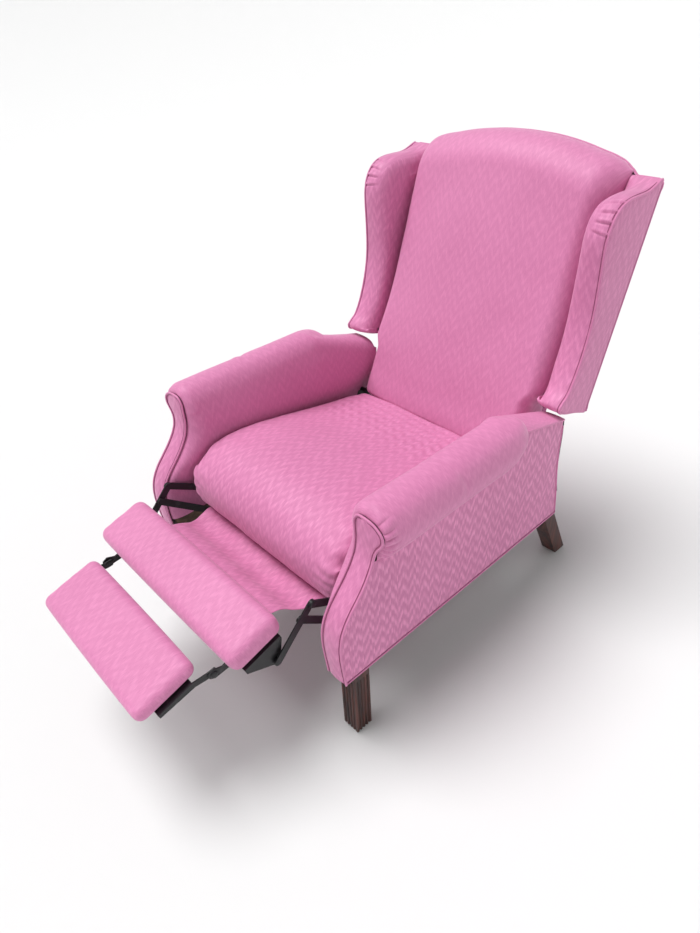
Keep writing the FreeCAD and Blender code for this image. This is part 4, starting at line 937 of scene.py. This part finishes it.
def seat_section(share, half, count):
    """The cushion's section (rearward, up) at a share of its half width: tail, top, then nose."""
    e = float(quarter((half - abs(half * share)) / 34))
    crown, drop = 12 * (1 - abs(share) ** 2.2), 30 * (1 - e)

    def h(y):
        """Height of the cushion's top."""
        return float(spline(SEAT_TOP, y)) + crown - drop

    front = -346 + 20 * (1 - e)
    rear = 257 - 6 * (1 - e)
    tail = [(270, 336), (275, 340), (271, 346), (263, 352), (rear + 1, 362), (rear, 376),
            (rear - 3, h(245) - 8), (rear - 14, h(238)), (rear - 40, h(214) + 1)]
    top = [(y, h(y)) for y in (129, 60, -10, -80, -150, -202, -245)]
    nose = [(-282, h(-282) - 1), (front + 28, h(-300) - 14), (front + 10, 412), (front + 2, 390),
            (front, 366), (front + 3, 342), (front + 11, 320), (front + 24, 308), (-312, 303.5),
            (-298, 303.5)]
    return path(tail + top + nose, count)


def seat_cushion():
    """A plump cushion: square shoulders between the arms, a full front edge, a tail under the back."""
    cols, length = 110, 190
    half, tail_half = 267.5, 262
    a = np.linspace(-1, 1, cols)
    a = np.sign(a) * (1 - (1 - np.abs(a)) ** 1.6)
    x = half * a
    sec = np.array([seat_section(k, half, length) for k in a])
    pts = np.concatenate([np.repeat(x[:, None, None], length, 1), sec], -1)
    pts[..., 0] *= 1 - smooth((pts[..., 1] - 196) / 34) * (1 - tail_half / half)
    run = distance_along(sec[cols // 2])
    ty, tz = np.gradient(sec[..., 0], axis=1), np.gradient(sec[..., 1], axis=1)
    size = np.maximum(np.hypot(ty, tz), 1e-6)
    ny, nz = -tz / size, ty / size
    turn = np.where(nz[cols // 2, length // 2] > 0, 1.0, -1.0)
    # Slow waves, sewn zigzag puckers towards the rear, and folds at the front corners
    share = np.linspace(0, 1, length)[None, :]
    wave = 2.4 * noise3(pts, 130, 41) + 0.9 * noise3(pts, 42, 42)
    rear = smooth((pts[..., 1] + 20) / 150) * smooth((262 - np.abs(pts[..., 0])) / 60)
    rear = rear * smooth((240 - pts[..., 1]) / 20)
    zig = np.abs(((pts[..., 0] / 33.0) % 1) - 0.5) * 2
    quilt = 1.5 * rear * np.sin(2 * np.pi * (pts[..., 1] / 30 + zig * 0.5))
    near = smooth((np.abs(pts[..., 0]) - 190) / 60) * smooth((-225 - pts[..., 1]) / 50)
    folds = 1.5 * near * np.sin(pts[..., 2] / 4.2 + pts[..., 0] / 22 + 2 * noise3(pts, 40, 43))
    move = turn * (wave + quilt + folds) * smooth(share / 0.06) * smooth((1 - share) / 0.05)
    move = move * smooth((half + 0.5 - np.abs(pts[..., 0])) / 10)
    pts[..., 1] += ny * move
    pts[..., 2] += nz * move
    uv = np.stack([pts[..., 0], np.repeat(run[None, :], cols, 0)], -1) / 1000
    flat = pts.reshape(-1, 3).tolist()
    uvs = uv.reshape(-1, 2).tolist()
    faces = grid_faces(cols, length)
    for row in (0, cols - 1):
        index = list(range(row * length, row * length + length))
        under = []
        for q in pts[row]:
            flat.append([q[0] * 0.998, min(max(q[1], -300), 250), 350.0 if q[1] > -250 else 306.0])
            uvs.append((q[1] / 1000, 0.306))
            under.append(len(flat) - 1)
        for i in range(length - 1):
            faces.append((index[i], index[i + 1], under[i + 1], under[i]))
    obj = make("seat_cushion_cover", flat, faces, "seat", PUCKERED, ["seat_cushion"], uv=uvs)


# Footrest panels and the flap between seat and footrest

def footrest_panel(name, half, front, rear, thick, crown, body, replaced, seed):
    """A thin padded panel with boxed, tucked ends."""
    size = (2 * half, rear - front, thick)
    centre = (0, (rear + front) / 2, -thick / 2)
    pts, faces = rounded_box(size, centre, min(thick * 0.42, 19), (70, 20, 8))
    x, y, z = pts.T
    off = y - centre[1]
    u = np.clip(1 - (x / half) ** 2, 0, 1)
    w = np.clip(1 - (off / (size[1] / 2)) ** 2, 0, 1)
    top = smooth((z + thick * 0.75) / (thick * 0.6))
    pts[:, 2] += (crown * (u ** 0.45) * (w ** 0.5) - crown) * top
    out = np.sign(off) * 3.0 * (u ** 0.4) * np.sin(np.pi * np.clip(-z / thick, 0, 1))
    pts[:, 1] += out * smooth(np.abs(off) / (size[1] / 2) * 2 - 1)
    edge = smooth(1 - np.minimum(half - np.abs(x), 60) / 60)
    wrinkle = np.sin(y / 6.0 + 3 * noise3(pts, 30, seed)) * edge * 0.9 * smooth(1 - np.abs(z + 8) / 26)
    pts[:, 2] += (1.2 * noise3(pts, 55, seed) + wrinkle * 0.6 + 0.4 * noise3(pts, 18, seed + 1)) * top
    pts[:, 2] = np.minimum(pts[:, 2], 1.5)
    obj = make(name, pts, faces, body, LIT_SMOOTH_CLOTH, replaced, place=from_panel)
    subdivide(obj)

    def rule(p, normal):
        """Cloth laid over the top and front, and upright on the ends."""
        back, up = untilted(p, PANEL_ORIGIN, -PANEL_TILT)
        ends = np.abs(normal[:, 0]) > 0.75
        return np.stack([np.where(ends, back, p[:, 0] * 1000), np.where(ends, up, back + up)], -1) / 1000

    face_uv(obj, rule)


def front_flap():
    """The cloth between the seat's front and the footrest: under the seat, a valley, up to the panel."""
    cols, rows = 110, 60
    half, thickness = 215, 0.0012
    line = path([(-272, 301), (-300, 299.5), (-318, 295), (-336, 296), (-358, 294), (-382, 295),
                 (-402, 304), (-420, 318), (-434, 326), (-452, 332), (-474, 346)], rows)
    x = np.linspace(-half, half, cols)
    pts = np.zeros((rows, cols, 3))
    t = np.linspace(0, 1, rows)[:, None]
    pts[..., 0] = x[None, :] * (1.03 - 0.10 * smooth((t - 0.2) / 0.7) + 0.02 * np.sin(7 * t))
    pts[..., 1] = line[:, 0][:, None]
    pts[..., 2] = line[:, 1][:, None]
    hang = smooth(t / 0.2) * smooth((1 - t) / 0.12)
    fold = 2.6 * np.sin(pts[..., 0] / 23 + 2.0 * np.sin(pts[..., 0] / 70)) * hang
    fold += 3.5 * noise3(pts * np.array([1, 0.4, 1]), 70, 51) * hang
    curl = 7.0 * smooth((np.abs(pts[..., 0]) - 186) / 26) * hang
    pts[..., 2] += fold * 0.7 + curl
    step = distance_along(line)
    uv = np.stack([pts[..., 0], np.repeat(step[:, None], cols, 1)], -1) / 1000
    obj = make("front_flap_cloth", pts, grid_faces(rows, cols, flip=True), "seat", PUCKERED, ["front_flap"],
               uv=uv)
    mod = obj.modifiers.new("thickness", "SOLIDIFY")
    mod.thickness = thickness
    apply_modifiers(obj)
    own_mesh(obj)


# Small steel fasteners

def dome(name, centre, radius, height, direction, body, place=None):
    """A low domed rivet head whose flat side looks inwards along X."""
    turns = 20
    rings = [(radius, 0), (radius, height * 0.35), (radius * 0.86, height * 0.72),
             (radius * 0.55, height * 0.94), (radius * 0.2, height)]
    pts = []
    for r, h in rings:
        for k in range(turns):
            t = 2 * math.pi * k / turns
            pts.append((centre[0] + direction * h, centre[1] + r * math.cos(t), centre[2] + r * math.sin(t)))
    faces = grid_faces(len(rings), turns, close_cols=True, flip=direction < 0)
    last = tuple(range((len(rings) - 1) * turns, len(rings) * turns))
    faces.append(last if direction > 0 else last[::-1])
    make(name, pts, faces, body, BLACK_STEEL, place=place)


def fasteners():
    """The two rivet heads on each side that stand out beside the links."""
    for side_name, side in SIDES:
        dome(f"rivet_knee_{side_name}", (side * 279.4, -404, 388), radius=7.5, height=2.4,
             direction=side, body="upper_links")
        dome(f"rivet_flip_{side_name}", (side * 222.2, -150, -60), radius=8.0, height=3.2,
             direction=side, body="footrest", place=from_panel)


# Build

for side_name, side in SIDES:
    arm_cover(side_name, side)
    arm_border(side_name, side)
    arm_outside(side_name, side)
    wing(side_name, side)
back_front()
outside_back()
seat_cushion()
footrest_panel("footrest_cover", half=268, front=-121, rear=2, thick=59, crown=8, body="footrest",
               replaced=["footrest_pad"], seed=61)
footrest_panel("flip_out_cover", half=209, front=-304, rear=-167, thick=40, crown=5, body="flip_out",
               replaced=["flip_pad"], seed=71)
front_flap()
fasteners()


# Floor, light and camera, in metres

def floor():
    """A pale floor that rises gently far away, so no horizon shows."""
    level, rise, turns = 6, 0.022, 48
    radii = np.r_[0.0, np.linspace(2, level, 5), np.linspace(8, 40, 17)]
    pts = []
    for r in radii:
        for k in range(turns):
            t = 2 * math.pi * k / turns
            pts.append((r * math.cos(t), r * math.sin(t), rise * max(r - level, 0) ** 2))
    mesh = bpy.data.meshes.new("floor")
    mesh.from_pydata(pts, [], grid_faces(len(radii), turns, close_cols=True))
    shade_smooth(mesh)
    obj = add("floor", mesh)
    material, _, shader = nodes_of("pale_floor")
    shader.inputs["Base Color"].default_value = (0.74, 0.74, 0.74, 1)
    shader.inputs["Roughness"].default_value = 0.9
    shader.inputs["Specular IOR Level"].default_value = 0.1
    mesh.materials.append(material)


def studio():
    """A dim white surround and one broad key light."""
    world = bpy.data.worlds.new("studio")
    bpy.context.scene.world = world
    world.use_nodes = True
    background = world.node_tree.nodes["Background"]
    background.inputs[0].default_value = (1.0, 1.0, 1.0, 1)
    background.inputs[1].default_value = 0.24
    toward = Vector((-0.32, -0.20, 1.0))
    light = bpy.data.lights.new("key", "SUN")
    light.energy = 3.25
    light.angle = math.radians(38)
    obj = add("key", light)
    obj.location = toward * 3
    obj.rotation_mode = "QUATERNION"
    obj.rotation_quaternion = toward.to_track_quat("Z", "Y")


def camera():
    """The photo's camera, as fitted: where it looks from, its roll and its focal length in pixels."""
    azimuth, elevation, roll = math.radians(48.71), math.radians(36.23), math.radians(-3.31)
    focal_pixels, photo_height, sensor = 669.80, 933, 36
    away = Vector((math.sin(azimuth) * math.cos(elevation), -math.cos(azimuth) * math.cos(elevation),
                   math.sin(elevation)))
    level = (-away).cross(Vector((0, 0, 1))).normalized()
    upright = level.cross(-away)
    right = math.cos(roll) * level + math.sin(roll) * upright
    up = -math.sin(roll) * level + math.cos(roll) * upright
    data = bpy.data.cameras.new("camera")
    data.sensor_width = sensor
    data.lens = focal_pixels / photo_height * sensor
    data.clip_start, data.clip_end = 0.05, 100
    obj = add("camera", data)
    turn = Matrix((right, up, away)).transposed()
    obj.matrix_world = Matrix.Translation((1.02393, (-939.23 + SHIFT) / 1000, 1.39007)) @ turn.to_4x4()
    bpy.context.scene.camera = obj


floor()
studio()
camera()
bpy.context.scene.view_settings.view_transform = "Standard"
